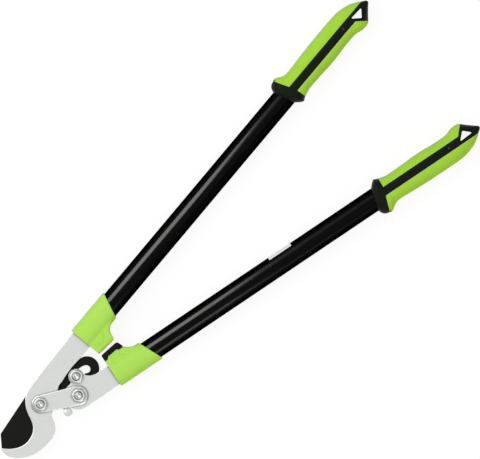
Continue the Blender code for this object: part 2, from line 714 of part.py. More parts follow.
def lobe_outline(side):
    """The buffer lobe of a socket, from the sleeve inward, anticlockwise on the fixed handle."""
    inside = -TUBE_RADIUS / 2
    if side == "fixed":
        start, end = np.array(LOBE_FACE)
        ahead = (end - start) / np.hypot(*(end - start))
        corners = [start + ahead * (LOBE_SETBACK - start[0]), end + ahead * 0.0022, (0.0290, -0.0230)]
        face = rounded([(LOBE_SETBACK, inside)] + corners, (0, 0.0022, 0.0026, 0))[1:-1]
        back = curve(plan([(28.6, -22.8), (31.4, -19.6), (34.8, -17.2), (39.5, -15.4)]))
    else:
        seat = np.vstack([BUFFER_SEAT, BUFFER_HEEL[1:]]) + (0, BUFFER_SEAT_GAP)
        face = rounded(seat, (0, 0.0008, 0.0016, 0.0016, 0.0010, 0), 2)
        back = curve(plan([(30.9, -21.4), (33.2, -19.6), (36.0, -17.9), (40.0, -16.4), (43, -15.2)]))
    points = np.vstack([[(LOBE_SETBACK, inside)], face, back, [(back[-1, 0], inside)]])
    return on_handle(side, points + (socket_front(side), 0))


def buffer_outline():
    """The rubber buffer: its face is the fixed lobe's face, turned back by the closing travel."""
    lobe_face = on_handle("fixed", np.array(LOBE_FACE) + (socket_front("fixed"), 0))
    met = turned(lobe_face, -(CLOSING + BUFFER_SPARE), LEVER_PIVOT)
    toe = BUFFER_SEAT[0][0], LOBE_FACE[0][1] + 0.0004
    rest = np.vstack([[toe], BUFFER_HEEL, BUFFER_SEAT[::-1]]) + (socket_front("moving"), 0)
    rest = on_handle("moving", rest)
    outline = np.vstack([rest[:1], met, rest[1:]])
    return rounded(outline, (0.0018, 0, 0, 0.0016, 0.001, 0.0016, 0.001, 0.001, 0.0016, 0), 2)


def sleeve_form(side):
    """A socket's sleeve: square at the front, slanted at the back, rounded at both ends."""
    front, width = socket_front(side), TUBE_RADIUS + SOCKET_WALL
    end = front + SOCKET_LENGTH
    rings = []
    for depth, cut in ((0.0, 1.0), (0.4, 0.2), (1.1, 0.0)):
        size = width - SOCKET_EDGE * cut
        ring = handle_ring(side, front + SOCKET_EDGE * depth, size, size, GRIP_SIDES, 0.0, SLEEVE_POWER)
        rings.append(ring)
    for depth, cut in ((0.9, 0.0), (0.2, 0.2), (0.0, 0.8)):
        size = width - SOCKET_EDGE * cut
        ring = handle_ring(side, end - SOCKET_EDGE * depth, size, size, GRIP_SIDES, SOCKET_SLANT, SLEEVE_POWER)
        rings.append(ring)
    return rings_to_mesh(rings)


def build_socket(made, side, tang):
    """Socket, tube, plug and pins of one handle."""
    front, grip = socket_front(side), grip_start(side)
    socket = made.piece(f"{side}_socket", sleeve_form(side), "socket_green", side)
    low, high = AXIS_HEIGHT - LOBE_HALF_THICKNESS, AXIS_HEIGHT + LOBE_HALF_THICKNESS
    lobe = made.cutter(f"{side}_lobe_form", prism(lobe_outline(side), low, high, LOBE_CHAMFER), side)
    combine(socket, lobe, "UNION")

    tube_start = front + TUBE_SEAT
    tube_end = grip + TUBE_IN_GRIP
    bore = handle_rod(side, tube_start - GAP, front + 2 * SOCKET_LENGTH, TUBE_RADIUS + GAP)
    combine(socket, made.cutter(f"{side}_socket_bore_cutter", bore, side))
    inner_side, outer_side, slit = -TANG_INNER - GAP, TANG_OUTER + GAP, PLATE / 2 + GAP
    mouth = handle_block(side, front - SOCKET_EDGE, tube_start, inner_side, outer_side, slit)
    combine(socket, made.cutter(f"{side}_socket_mouth_cutter", mouth, side))

    inner = TUBE_RADIUS - TUBE_WALL
    pipe = handle_pipe(side, tube_start, tube_end, TUBE_RADIUS, inner)
    tube = made.piece(f"{side}_tube", pipe, "tube_black", side)
    plug_end = tube_start + PLUG_LENGTH
    rod = handle_rod(side, tube_start, plug_end, inner - GAP)
    plug = made.piece(f"{side}_tang_insert", rod, "plug_grey", side)
    neck_end = front + TANG_STEP + NECK_LENGTH
    plug_slit = handle_block(side, front, neck_end + GAP, -TANG_NECK - GAP, TANG_NECK + GAP, slit)
    combine(plug, made.cutter(f"{side}_plug_slit_cutter", plug_slit, side))

    places = on_handle(side, [(front + along, 0.0) for along in PIN_PLACES])
    reach = math.sqrt(TUBE_RADIUS**2 - PIN_RADIUS**2) - GAP
    for number, place in enumerate(places, 1):
        shape = holes([place], PIN_RADIUS, AXIS_HEIGHT - reach, AXIS_HEIGHT + reach)
        made.piece(f"{side}_tang_pin_{number}", shape, "bolt_steel", side)
    bores = holes(places, PIN_RADIUS + GAP, AXIS_HEIGHT - 2 * TUBE_RADIUS, AXIS_HEIGHT + 2 * TUBE_RADIUS)
    pin_cutter = made.cutter(f"{side}_pin_cutter", bores, side)
    for item in (tube, plug, tang):
        combine(item, pin_cutter)
    return tube


def section(rows, origin):
    """Rows in millimetres with their places along moved to an origin, and the rest scaled to the tube."""
    rows = plan(rows)
    rows[:, 1:] *= TUBE_RADIUS / ROWS_TUBE_RADIUS
    rows[:, 0] += origin
    return rows


def grip_form(side):
    """The grip's whole outer form, flattened front and back over the stripe."""
    start = grip_start(side)
    rows = np.vstack([section(COLLAR_ROWS, start), section(NOSE_ROWS, start + TUBE_IN_GRIP)])
    rings = []
    for along, outer, inner, height, lean in rows:
        half, middle = (outer + inner) / 2, (outer - inner) / 2
        slant = -lean / (outer + inner)
        on_axis = along - slant * outer
        flat = TUBE_RADIUS + STRIPE_WALL
        rings.append(handle_ring(side, on_axis, half, height, GRIP_SIDES, slant, GRIP_POWER, middle, flat))
    return rings_to_mesh(rings)


def seat_form(side, clearance):
    """The form that the pads sit on: a sleeve over the tube, then a taper inside the nose."""
    start = grip_start(side)
    base = TUBE_RADIUS + SEAT_WALL + clearance
    rings = [handle_ring(side, along, base, base) for along in (start - SEAT_LEAD, start + TUBE_IN_GRIP)]
    for along, outer, inner, height in section(SEAT_ROWS, start + TUBE_IN_GRIP):
        half, middle = (outer + inner) / 2 + clearance, (outer - inner) / 2
        rings.append(handle_ring(side, along, half, height + clearance, centre=middle))
    return rings_to_mesh(rings)


def pad_plans(side, clearance):
    """Plans of the outer and the inner pad's places, grown by a clearance."""
    start = grip_start(side)
    end = start + TUBE_IN_GRIP
    far = 2.5 * TUBE_RADIUS
    outer = [
        (start + OUTER_PAD_START - PAD_START_LEAN * (far - STRIPE_OUTER), far),
        (start + OUTER_PAD_START, STRIPE_OUTER),
        (end + OUTER_PAD_END, STRIPE_OUTER),
        (end + OUTER_PAD_FAR_END, far),
    ]
    inner = [
        (start + INNER_PAD_START, -STRIPE_INNER),
        (end + INNER_PAD_END, -STRIPE_INNER),
        (end + INNER_PAD_END + PAD_END_LEAN * (far - STRIPE_INNER), -far),
        (start + INNER_PAD_FAR_START, -far),
    ]
    plans = [rounded(outer, (0, OUTER_PAD_CORNER, 0, 0)), rounded(inner, (INNER_PAD_CORNER, 0, 0, 0))]
    return [on_handle(side, inset(anticlockwise(points), -clearance)) for points in plans]


def build_grip(made, side, tube):
    """Core, two pads and the screw of one grip."""
    tube_end = grip_start(side) + TUBE_IN_GRIP
    low, high = AXIS_HEIGHT - 2 * TUBE_RADIUS, AXIS_HEIGHT + 2 * TUBE_RADIUS
    core = made.piece(f"{side}_grip_core", grip_form(side), "grip_black", side)
    pad_seat = made.cutter(f"{side}_pad_seat_form", seat_form(side, GAP), side)
    pocket_seat = made.cutter(f"{side}_pocket_seat_form", seat_form(side, 0.0), side)
    for place, pad_plan, pocket_plan in zip(("outer", "inner"), pad_plans(side, 0.0), pad_plans(side, GAP)):
        pad = made.piece(f"{side}_grip_{place}_pad", grip_form(side), "pad_green", side)
        window = made.cutter(f"{side}_{place}_pad_window", prism(pad_plan, low, high), side)
        combine(pad, window, "INTERSECT")
        combine(pad, pad_seat)
        pocket = made.cutter(f"{side}_{place}_pocket_cutter", prism(pocket_plan, low, high), side)
        combine(pocket, pocket_seat)
        combine(core, pocket)

    bore = handle_rod(side, grip_start(side) - 2 * TUBE_RADIUS, tube_end + GAP, TUBE_RADIUS + GAP)
    combine(core, made.cutter(f"{side}_grip_bore_cutter", bore, side))
    triangle = rounded(np.array(HANGING_HOLE) + (tube_end, 0), (HANGING_HOLE_ROUND,) * 3)
    hang = prism(on_handle(side, triangle), low, high)
    combine(core, made.cutter(f"{side}_hanging_hole_cutter", hang, side))

    place = on_handle(side, [(tube_end - SCREW_BACK, -SCREW_INWARD)])[0]
    top = AXIS_HEIGHT + TUBE_RADIUS + STRIPE_WALL - SCREW_SUNK
    seat = top - SCREW_HEAD_HEIGHT
    tip = top - SCREW_LENGTH
    rows = [
        (SCREW_SHANK * 0.4, tip),
        (SCREW_SHANK, tip + SCREW_SHANK),
        (SCREW_SHANK, seat),
        (SCREW_HEAD, seat),
        (SCREW_HEAD, top - CHAMFER),
        (SCREW_HEAD - CHAMFER, top),
    ]
    made.piece(f"{side}_grip_screw", turned_solid(rows, place, sides=HOLE_SIDES), "screw_black", side)
    recess = holes([place], SCREW_HEAD + GAP, seat - GAP, high)
    combine(core, made.cutter(f"{side}_screw_recess_cutter", recess, side))
    thread_hole = holes([place], SCREW_SHANK + GAP, AXIS_HEIGHT, high)
    thread = made.cutter(f"{side}_thread_cutter", thread_hole, side)
    combine(core, thread)
    combine(tube, thread)


def centre_on_ground(made):
    """Moves the whole assembly so that the middle of its underside's box is the origin."""
    bpy.context.view_layer.update()
    graph = bpy.context.evaluated_depsgraph_get()
    corners = []
    for item in bpy.data.objects:
        if item.type == "MESH" and not item.hide_render:
            body = item.evaluated_get(graph)
            mesh = body.to_mesh()
            points = np.empty(len(mesh.vertices) * 3)
            mesh.vertices.foreach_get("co", points)
            corners.append(points.reshape(-1, 3) + np.array(item.matrix_world.translation))
            body.to_mesh_clear()
    points = np.vstack(corners)
    low, high = points.min(0), points.max(0)
    made.root.location = (-(low[0] + high[0]) / 2, -(low[1] + high[1]) / 2, -low[2])
    bpy.context.view_layer.update()
    for name, pivot in made.pivots.items():
        print(name, "pivot at", [round(value, 6) for value in pivot.matrix_world.translation])
    print("size", [round(value, 5) for value in high - low])


def build():
    clear_scene()
    made = Assembly()
    tangs = build_head(made)
    for side in ("fixed", "moving"):
        tube = build_socket(made, side, tangs[side])
        build_grip(made, side, tube)
    low, high = AXIS_HEIGHT - LOBE_HALF_THICKNESS, AXIS_HEIGHT + LOBE_HALF_THICKNESS
    made.piece("bumper", prism(buffer_outline(), low, high, BUFFER_CHAMFER), "rubber_black", "moving")
    centre_on_ground(made)


build()
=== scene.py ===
# %% [markdown]
# # A bypass lopper, dressed for its photograph
#
# The lopper's solids are already made and packed. This lesson loads them as a fixed frame, and puts the
# finer surfaces and the finishes on them: satin plates, a black coated blade, gloss tubes, moulded green
# sockets and soft green grips. Nothing here changes a dimension. Where a surface is redrawn, it's because
# the solid has few sides, and a close look would show them.
#
# The frame gives the joints, and every piece is drawn from them, in millimetres.

import json
import math

import bmesh
import bpy
import numpy as np
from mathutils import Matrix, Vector
from mathutils.geometry import tessellate_polygon


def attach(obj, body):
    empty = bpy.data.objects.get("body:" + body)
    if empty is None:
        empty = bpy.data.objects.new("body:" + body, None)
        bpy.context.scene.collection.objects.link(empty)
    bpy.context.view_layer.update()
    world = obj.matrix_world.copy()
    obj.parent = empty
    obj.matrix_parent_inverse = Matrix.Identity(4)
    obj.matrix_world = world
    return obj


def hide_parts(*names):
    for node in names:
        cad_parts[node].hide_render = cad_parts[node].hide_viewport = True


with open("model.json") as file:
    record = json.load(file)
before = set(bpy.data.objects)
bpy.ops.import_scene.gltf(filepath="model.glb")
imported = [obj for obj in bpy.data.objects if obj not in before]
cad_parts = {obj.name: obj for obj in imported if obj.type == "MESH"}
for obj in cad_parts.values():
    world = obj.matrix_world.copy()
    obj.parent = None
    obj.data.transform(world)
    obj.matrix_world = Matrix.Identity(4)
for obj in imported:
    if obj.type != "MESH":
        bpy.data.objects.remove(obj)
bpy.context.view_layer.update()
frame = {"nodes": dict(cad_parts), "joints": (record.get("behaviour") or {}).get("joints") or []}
MM = 0.001
joints = {joint["name"]: np.array(joint["pos_m"]) / MM for joint in frame["joints"]}
MAIN_PIVOT = joints["blade_hinge"]
LEVER_PIVOT = joints["handle_hinge"]
AXIS_HEIGHT = MAIN_PIVOT[2]

# %% [markdown]
# ## The camera
#
# The photograph looks straight down on a lopper that lies flat, from so far away that both tubes keep
# their width from end to end. A perspective camera could stand very high, but an orthographic one gives
# the same picture exactly. It's turned about its own axis so that the jaws point to the lower left.

# %% Camera
VIEW_WIDTH = 0.5895
VIEW_TURN = -41.97
VIEW_CENTRE = (0.04712, -0.00045)
CAMERA_HEIGHT = 1.5

camera_data = bpy.data.cameras.new("camera")
camera_data.type = "ORTHO"
camera_data.ortho_scale = VIEW_WIDTH
camera = bpy.data.objects.new("camera", camera_data)
camera.location = (*VIEW_CENTRE, CAMERA_HEIGHT)
camera.rotation_euler = (0.0, 0.0, math.radians(VIEW_TURN))
bpy.context.scene.collection.objects.link(camera)
bpy.context.scene.camera = camera
print("the view is", VIEW_WIDTH, "m wide")

# %% [markdown]
# ## Light and floor
#
# The tubes tell how the photograph was lit. Each has a soft streak on its upper left, and near the sockets a
# weaker one on its lower right. So there's a large softbox up and to the left, and a weak low one across.
# Their streaks drift and end at other places on the two tubes, which gives how near and how long the lights
# are.
# The nuts tell the rest: their tops are bright and their chamfers dark. So the light overhead is broad and
# white, the surroundings are white, and there's a darker band between them. The world is a ramp over the
# height that a ray points to, with those three parts. The camera sees plain white.
#
# The green plastic shows hardly any shade, so most of the light is even. That's why each streak comes from a
# lamp of its own: a bright strip that only reflections on the tubes see, through light linking. It draws the
# line on the gloss, and adds nothing to the light on the rest.
#
# The background is white. The floor shows that white to the camera and in reflections, through Is Camera
# Ray and Is Glossy Ray, and keeps a little of its own shading there, so that the lopper's shadow stays.

# %% Helpers for nodes
FINISHES = {}


def feed(tree, node, inputs):
    """Links or sets a node's inputs, given by name or number. A colour is three numbers."""
    for label, value in inputs.items():
        socket = node.inputs[label]
        if isinstance(value, bpy.types.NodeSocket):
            tree.links.new(value, socket)
        else:
            socket.default_value = (*value, 1.0) if socket.type == "RGBA" else value


def add_node(tree, kind, inputs, **settings):
    """A shader node with its settings and its inputs."""
    node = tree.nodes.new("ShaderNode" + kind)
    for name, value in settings.items():
        setattr(node, name, value)
    feed(tree, node, inputs)
    return node


def math_node(tree, operation, first, second):
    """A math node on two sockets or numbers; gives its output."""
    return add_node(tree, "Math", {0: first, 1: second}, operation=operation).outputs[0]


def mix_colours(tree, share, first, second):
    """A colour between two, by a share that moves over the surface."""
    return add_node(tree, "Mix", {0: share, 6: first, 7: second}, data_type="RGBA").outputs[2]


def start_finish(name, settings):
    """The node tree and the shader of a new finish, with plain values set on the shader's sockets."""
    FINISHES[name] = bpy.data.materials.new(name)
    FINISHES[name].use_nodes = True
    tree = FINISHES[name].node_tree
    shader = tree.nodes["Principled BSDF"]
    feed(tree, shader, settings)
    return tree, shader


print("node helpers ready")


# %% World
WHITE = (1.0, 1.0, 1.0)
SKY = [(0.0, 1.0), (0.12, 1.0), (0.30, 0.34), (0.60, 0.28), (0.84, 0.94), (1.0, 0.98)]

world = bpy.data.worlds.new("studio")
world.use_nodes = True
bpy.context.scene.world = world
tree = world.node_tree
direction = add_node(tree, "TexCoord", {}).outputs["Generated"]
ramp = add_node(tree, "ValToRGB", {"Fac": add_node(tree, "SeparateXYZ", {0: direction}).outputs["Z"]})
ramp.color_ramp.interpolation = "EASE"
stops = ramp.color_ramp.elements
for number, (height, brightness) in enumerate(SKY):
    stop = stops[number] if number < 2 else stops.new(height)
    stop.position = height
    stop.color = (brightness, brightness, brightness, 1.0)
ray = add_node(tree, "LightPath", {}).outputs
shown = math_node(tree, "MAXIMUM", ramp.outputs["Color"], ray["Is Camera Ray"])
feed(tree, tree.nodes["Background"], {"Color": WHITE, "Strength": shown})
bpy.context.scene.view_settings.view_transform = "Standard"
for stop in stops:
    print("world at height", round(stop.position, 2), "is", round(stop.color[0], 2))


# %% Lamps
def add_softbox(name, place, size, power, aim=(0.0, 0.0, 0.0)):
    """A rectangular lamp that faces a point; gives the lamp."""
    data = bpy.data.lights.new(name, "AREA")
    data.shape = "RECTANGLE"
    data.size, data.size_y = size
    data.energy = power
    lamp = bpy.data.objects.new(name, data)
    lamp.location = place
    lamp.rotation_euler = (Vector(aim) - Vector(place)).to_track_quat("-Z", "Y").to_euler()
    bpy.context.scene.collection.objects.link(lamp)
    print(name, "at", place, "of", power, "W")
    return lamp


add_softbox("key_softbox", (-0.30, 0.98, 1.10), (1.60, 1.00), 11.0)
add_softbox("low_softbox", (-0.40, -1.10, 0.66), (0.90, 0.40), 2.8)
streak_strips = [
    add_softbox("upper_strip", (-0.26, 0.47, 0.52), (0.66, 0.37), 25.6, aim=(-0.39, 0.0, 0.0)),
    add_softbox("lower_strip", (-0.38, -0.60, 0.50), (0.60, 0.26), 5.6, aim=(-0.38, 0.0, 0.0)),
]
on_tubes = bpy.data.collections.new("lit_by_strips")
for strip in streak_strips:
    strip.visible_diffuse = False
    strip.light_linking.receiver_collection = on_tubes


# %% Floor
FLOOR_REACH = 4.0
FLOOR_COLOUR = (0.50, 0.50, 0.50)
FLOOR_SHOWN = (0.13, 0.13, 0.13)
FLOOR_GLOW = 0.89
SHINE = "Specular IOR Level"

floor_mesh = bpy.data.meshes.new("floor")
corners = [(x * FLOOR_REACH, y * FLOOR_REACH, 0.0) for x, y in ((-1, -1), (1, -1), (1, 1), (-1, 1))]
floor_mesh.from_pydata(corners, [], [(0, 1, 2, 3)])
floor = bpy.data.objects.new("floor", floor_mesh)
bpy.context.scene.collection.objects.link(floor)

plain = {"Roughness": 1.0, SHINE: 0.0, "Emission Color": WHITE}
tree, shader = start_finish("floor_paint", plain)
ray = add_node(tree, "LightPath", {}).outputs
seen = math_node(tree, "MAXIMUM", ray["Is Camera Ray"], ray["Is Glossy Ray"])
glow = math_node(tree, "MULTIPLY", seen, FLOOR_GLOW)
paint = mix_colours(tree, seen, FLOOR_COLOUR, FLOOR_SHOWN)
feed(tree, shader, {"Emission Strength": glow, "Base Color": paint})
floor_mesh.materials.append(FINISHES["floor_paint"])
print("floor", 2 * FLOOR_REACH, "m wide")

# %% [markdown]
# ## Shared effects as node groups
#
# Five effects turn up in the finishes: the fine grain that a mould leaves, the lines that a belt leaves on
# ground steel, edges that have rubbed brighter, the faint marks of handling, and painted shade that darkens
# the colour beside a step, where a near part closes off the light. Each is a node group with named inputs,
# built once. Patterns read Object coordinates, so they stay on their piece when the handles open.


# %% Starting a node group
def start_group(name, inputs, outputs):
    """A node group with named inputs and outputs, what its inputs give, and the node for its outputs."""
    group = bpy.data.node_groups.new(name, "ShaderNodeTree")
    for label, value in inputs.items():
        kind = "NodeSocketFloat" if isinstance(value, float) else "NodeSocketVector"
        group.interface.new_socket(label, in_out="INPUT", socket_type=kind).default_value = value
    for label in outputs:
        group.interface.new_socket(label, in_out="OUTPUT", socket_type="NodeSocketFloat")
    print("node group", name, "gives", *outputs)
    return group, group.nodes.new("NodeGroupInput").outputs, group.nodes.new("NodeGroupOutput")


def add_noise(group, scale, detail, place=None, distortion=0.0):
    """Noise on Object coordinates, or on other ones; gives its output."""
    place = place or add_node(group, "TexCoord", {}).outputs["Object"]
    inputs = {"Vector": place, "Scale": scale, "Detail": detail, "Distortion": distortion}
    return add_node(group, "TexNoise", inputs).outputs["Fac"]


def limit_mask(group, value, amount):
    """A mask: a value times an amount, at most one."""
    return math_node(group, "MINIMUM", math_node(group, "MULTIPLY", value, amount), 1.0)


print("two helpers for groups ready")


# %% Moulded grain
# Height is fine noise, and Tone is slow noise, from 0 to 1
GRAIN, given, result = start_group("moulded_grain", {"Fineness": 2500.0, "Patches": 40.0}, ["Height", "Tone"])
height, tone = add_noise(GRAIN, given["Fineness"], 2.0), add_noise(GRAIN, given["Patches"], 3.0)
feed(GRAIN, result, {"Height": height, "Tone": tone})

# %% Ground lines
# Lines are noise squeezed across the grinding direction, so that it reads as fine scratches
no_turn = (0.0, 0.0, 0.0)
LINES, given, result = start_group("ground_lines", {"Direction": no_turn, "Fineness": 900.0}, ["Lines"])
turn = {"Vector": add_node(LINES, "TexCoord", {}).outputs["Object"], "Rotation": given["Direction"]}
place = add_node(LINES, "VectorRotate", turn, rotation_type="EULER_XYZ").outputs[0]
place = add_node(LINES, "Mapping", {"Vector": place, "Scale": (0.04, 1.0, 1.0)}).outputs[0]
feed(LINES, result, {"Lines": add_noise(LINES, given["Fineness"], 3.0, place)})

# %% Rubbed edges
# The mask is how far the surface normal, averaged over a small radius, leans from the true one
EDGES, given, result = start_group("rubbed_edges", {"Reach": 0.0006, "Amount": 1.0}, ["Mask"])
soft = add_node(EDGES, "Bevel", {"Radius": given["Reach"]}, samples=4).outputs[0]
true = add_node(EDGES, "NewGeometry", {}).outputs["Normal"]
alike = add_node(EDGES, "VectorMath", {0: soft, 1: true}, operation="DOT_PRODUCT").outputs["Value"]
lean = math_node(EDGES, "MULTIPLY", math_node(EDGES, "SUBTRACT", 1.0, alike), 4.0)
feed(EDGES, result, {"Mask": limit_mask(EDGES, lean, given["Amount"])})

# %% Handling marks
# The mask is slow noise cut to its upper part, so that it comes as separate faint patches
MARKS, given, result = start_group("handling_marks", {"Scale": 30.0}, ["Mask"])
noise = add_noise(MARKS, given["Scale"], 5.0, distortion=0.6)
upper = add_node(MARKS, "MapRange", {"Value": noise, "From Min": 0.48, "From Max": 0.72}).outputs[0]
feed(MARKS, result, {"Mask": upper})

# %% Painted shade beside a step
# The mask is how much of the view from a point is closed by what stands near it; finishes use it to paint
# shade into their colour there
CONTACT_SHADE, given, result = start_group("painted_contact_shade", {"Reach": 0.002, "Amount": 1.0}, ["Mask"])
view = add_node(CONTACT_SHADE, "AmbientOcclusion", {"Distance": given["Reach"]}, samples=8).outputs["AO"]
closed = math_node(CONTACT_SHADE, "SUBTRACT", 1.0, view)
feed(CONTACT_SHADE, result, {"Mask": limit_mask(CONTACT_SHADE, closed, given["Amount"])})

# %% [markdown]
# ## Finishes
#
# A finish is a Principled shader whose colour and roughness move a little over the surface, and whose bump
# comes from its grain. What's the same all over, such as a metal's whole metallic value, is a plain number
# on the shader's socket.


# %% Helpers for finishes
def use_group(tree, group, **values):
    """Places a node group with its own values; gives its outputs."""
    return add_node(tree, "Group", values, node_tree=group).outputs


def remap(tree, value, low, high):
    """A value from 0 to 1 spread between two others."""
    return add_node(tree, "MapRange", {"Value": value, "To Min": low, "To Max": high}).outputs[0]


def add_bump(tree, height, distance, strength=0.5):
    """A normal that follows a height, where a height of 1 is a distance in metres."""
    return add_node(tree, "Bump", {"Height": height, "Distance": distance, "Strength": strength}).outputs[0]


print("three helpers for finishes ready")


# %% Plastics, rubber and coatings
def moulded_finish(name, colour, shade, edge, roughness, fineness, relief, settings):
    """A matt or glossy skin with mould grain, a slow change of tone, marks of handling and rubbed edges."""
    tree, shader = start_finish(name, settings)
    grain = use_group(tree, GRAIN, Fineness=fineness)
    tone = mix_colours(tree, grain["Tone"], colour, shade)
    if edge:
        rubbed = use_group(tree, EDGES, Reach=0.0007, Amount=0.5)["Mask"]
        tone = mix_colours(tree, rubbed, tone, edge)
    marks = use_group(tree, MARKS, Scale=35.0)["Mask"]
    rough, bump = remap(tree, marks, *roughness), add_bump(tree, grain["Height"], relief)
    feed(tree, shader, {"Base Color": tone, "Roughness": rough, "Normal": bump})


SOFT_SHEEN = {SHINE: 0.22, "Sheen Weight": 0.08, "Sheen Roughness": 0.5}
DARK_GLOSS = {"Metallic": 1.0, "Specular Tint": (0.01, 0.01, 0.01)}

# Name, colour, darker shade, edge, roughness, grains in a metre, relief in metres, values of the shader
moulded_finish(
    "socket_green", (0.432, 0.752, 0.104), (0.404, 0.712, 0.094), (0.45, 0.79, 0.14),
    (0.54, 0.64), 2600.0, 0.00004, {SHINE: 0.12},
)
moulded_finish(
    "pad_green", (0.382, 0.692, 0.043), (0.340, 0.644, 0.033), (0.38, 0.72, 0.07),
    (0.62, 0.74), 1500.0, 0.00012, SOFT_SHEEN,
)
moulded_finish(
    "grip_black", (0.0050, 0.0070, 0.0030), (0.0038, 0.0054, 0.0024), (0.012, 0.014, 0.011),
    (0.45, 0.56), 2200.0, 0.00006, {SHINE: 0.10},
)
moulded_finish(
    "tube_black", (0.0052, 0.0054, 0.0050), (0.0044, 0.0046, 0.0044), None,
    (0.17, 0.21), 260.0, 0.00002, DARK_GLOSS,
)
moulded_finish(
    "rubber_black", (0.0050, 0.0056, 0.0034), (0.0040, 0.0046, 0.0028), (0.014, 0.014, 0.012),
    (0.60, 0.75), 1800.0, 0.00008, {SHINE: 0.12},
)
moulded_finish(
    "black_coating", (0.0062, 0.0064, 0.0054), (0.0050, 0.0052, 0.0045), (0.035, 0.035, 0.034),
    (0.46, 0.56), 1700.0, 0.00005, {SHINE: 0.10},
)
moulded_finish(
    "screw_black", (0.026, 0.026, 0.027), (0.018, 0.018, 0.019), (0.07, 0.07, 0.07),
    (0.38, 0.50), 1500.0, 0.00002, {SHINE: 0.30},
)
moulded_finish(
    "plug_grey", (0.19, 0.19, 0.20), (0.16, 0.16, 0.17), None, (0.5, 0.6), 1800.0, 0.00006, {},
)
moulded_finish(
    "label_white", (0.86, 0.86, 0.85), (0.80, 0.80, 0.79), None, (0.35, 0.45), 900.0, 0.00002, {SHINE: 0.3},
)
print("finishes so far:", *FINISHES)


# %% Metals
def metal_finish(name, colour, shade, edge, roughness, direction, fineness, relief, painted_shade=None):
    """Metal with lines in one direction, marks of handling, brighter edges and, if given, painted shade
    beside steps.
    """
    tree, shader = start_finish(name, {"Metallic": 1.0})
    turn = (0.0, 0.0, math.radians(direction))
    lines = use_group(tree, LINES, Direction=turn, Fineness=fineness)["Lines"]
    tone = mix_colours(tree, lines, shade, colour)
    rubbed = use_group(tree, EDGES, Reach=0.0005, Amount=0.8)["Mask"]
    tone = mix_colours(tree, rubbed, tone, edge)
    # Painted shade: the colour darkens where near parts close off the view, as a contact shadow would
    if painted_shade:
        corner = use_group(tree, CONTACT_SHADE, Reach=0.0026, Amount=1.1)["Mask"]
        tone = mix_colours(tree, corner, tone, painted_shade)
    marks = use_group(tree, MARKS, Scale=45.0)["Mask"]
    rough = math_node(tree, "ADD", remap(tree, marks, *roughness), math_node(tree, "MULTIPLY", lines, 0.10))
    bump = add_bump(tree, lines, relief, 0.35)
    feed(tree, shader, {"Base Color": tone, "Roughness": rough, "Normal": bump})


# Name, colour, darker shade, edge, roughness, direction of the lines in degrees, lines in a metre, relief
# The plates alone get painted shade: a dark colour that the occlusion mask lays beside the strap, nuts and
# other steps
metal_finish(
    "plate_steel", (0.69, 0.705, 0.685), (0.63, 0.64, 0.625), (0.80, 0.81, 0.80),
    (0.26, 0.34), 8.0, 1300.0, 0.00002, painted_shade=(0.10, 0.11, 0.10),
)
metal_finish(
    "bolt_steel", (0.74, 0.75, 0.75), (0.64, 0.65, 0.65), (0.78, 0.79, 0.79),
    (0.12, 0.18), 0.0, 1500.0, 0.00001,
)
metal_finish(
    "ground_steel", (0.74, 0.75, 0.75), (0.58, 0.59, 0.59), (0.9, 0.9, 0.9),
    (0.24, 0.32), 90.0, 900.0, 0.00003,
)
metal_finish(
    "bronze", (0.60, 0.42, 0.20), (0.52, 0.35, 0.16), (0.72, 0.53, 0.28),
    (0.30, 0.40), 0.0, 1200.0, 0.00002,
)
print("finishes with the metals:", len(FINISHES))

# %% [markdown]
# ## Drawing surfaces
#
# Everything long on this lopper follows one of two handles, which are mirror images. So a handle gets its
# own three directions: along it, outward from its axis and away from the other handle, and up. A surface
# is worked out as whole arrays in those directions, and one function places it.
#
# A closed skin is a grid of points: rings in rows, each ring joined to the next by four-sided faces.

# %% Handle directions
HALF_ANGLE = math.radians(8.03)
MIRROR = {"fixed": 1.0, "moving": -1.0}
AXIS_OFFSET = {"fixed": 12.87, "moving": 3.66}
SOCKET_FRONT = {"fixed": 93.5, "moving": 50.3}
GRIP_START = {"fixed": 481.2, "moving": 436.7}
BODY = {"fixed": "fixed_handle", "moving": "moving_handle"}
SIDES = tuple(BODY)


def on_handle(side, along, outward, above):
    """Places given along a handle, outward and above its axis, as points of the frame in millimetres.

    The handle's own axis starts at the foot of its pivot on it; along and outward are turned by half the
    angle between the handles, and the moving handle is the mirror image of the fixed one.
    """
    along, outward, above = np.broadcast_arrays(along, outward, above)
    heading = np.array([math.cos(HALF_ANGLE), MIRROR[side] * math.sin(HALF_ANGLE)])
    across = np.array([-math.sin(HALF_ANGLE), MIRROR[side] * math.cos(HALF_ANGLE)])
    pivot = MAIN_PIVOT if side == "fixed" else LEVER_PIVOT
    foot = pivot[:2] + AXIS_OFFSET[side] * across
    plan = foot + along[..., None] * heading + outward[..., None] * across
    return np.concatenate([plan, above[..., None] + AXIS_HEIGHT], -1)


def on_grip(side, along, outward, above):
    """The same for places given along a handle from where its grip starts."""
    return on_handle(side, GRIP_START[side] + along, outward, above)


for side in SIDES:
    print(side, "grip starts at", on_grip(side, 0.0, 0.0, 0.0).round(1).tolist())


# %% Skins
def skin(points, loop=False):
    """Points and faces of a closed skin over a grid whose rows are rings.

    The last ring joins the first in a loop; otherwise one flat face closes each end.
    """
    rows, columns = points.shape[:2]
    index = np.arange(rows * columns).reshape(rows, columns)
    ahead = np.roll(index, -1, 1)
    if loop:
        there, there_ahead = np.roll(index, -1, 0), np.roll(ahead, -1, 0)
        here, here_ahead = index, ahead
    else:
        here, here_ahead, there, there_ahead = index[:-1], ahead[:-1], index[1:], ahead[1:]
    faces = np.stack([here, here_ahead, there_ahead, there], -1).reshape(-1, 4).tolist()
    if not loop:
        faces += [index[0, ::-1].tolist(), index[-1].tolist()]
    return points.reshape(-1, 3), faces


print("a skin over 3 rings of 4 points has", len(skin(np.zeros((3, 4, 3)))[1]), "faces")


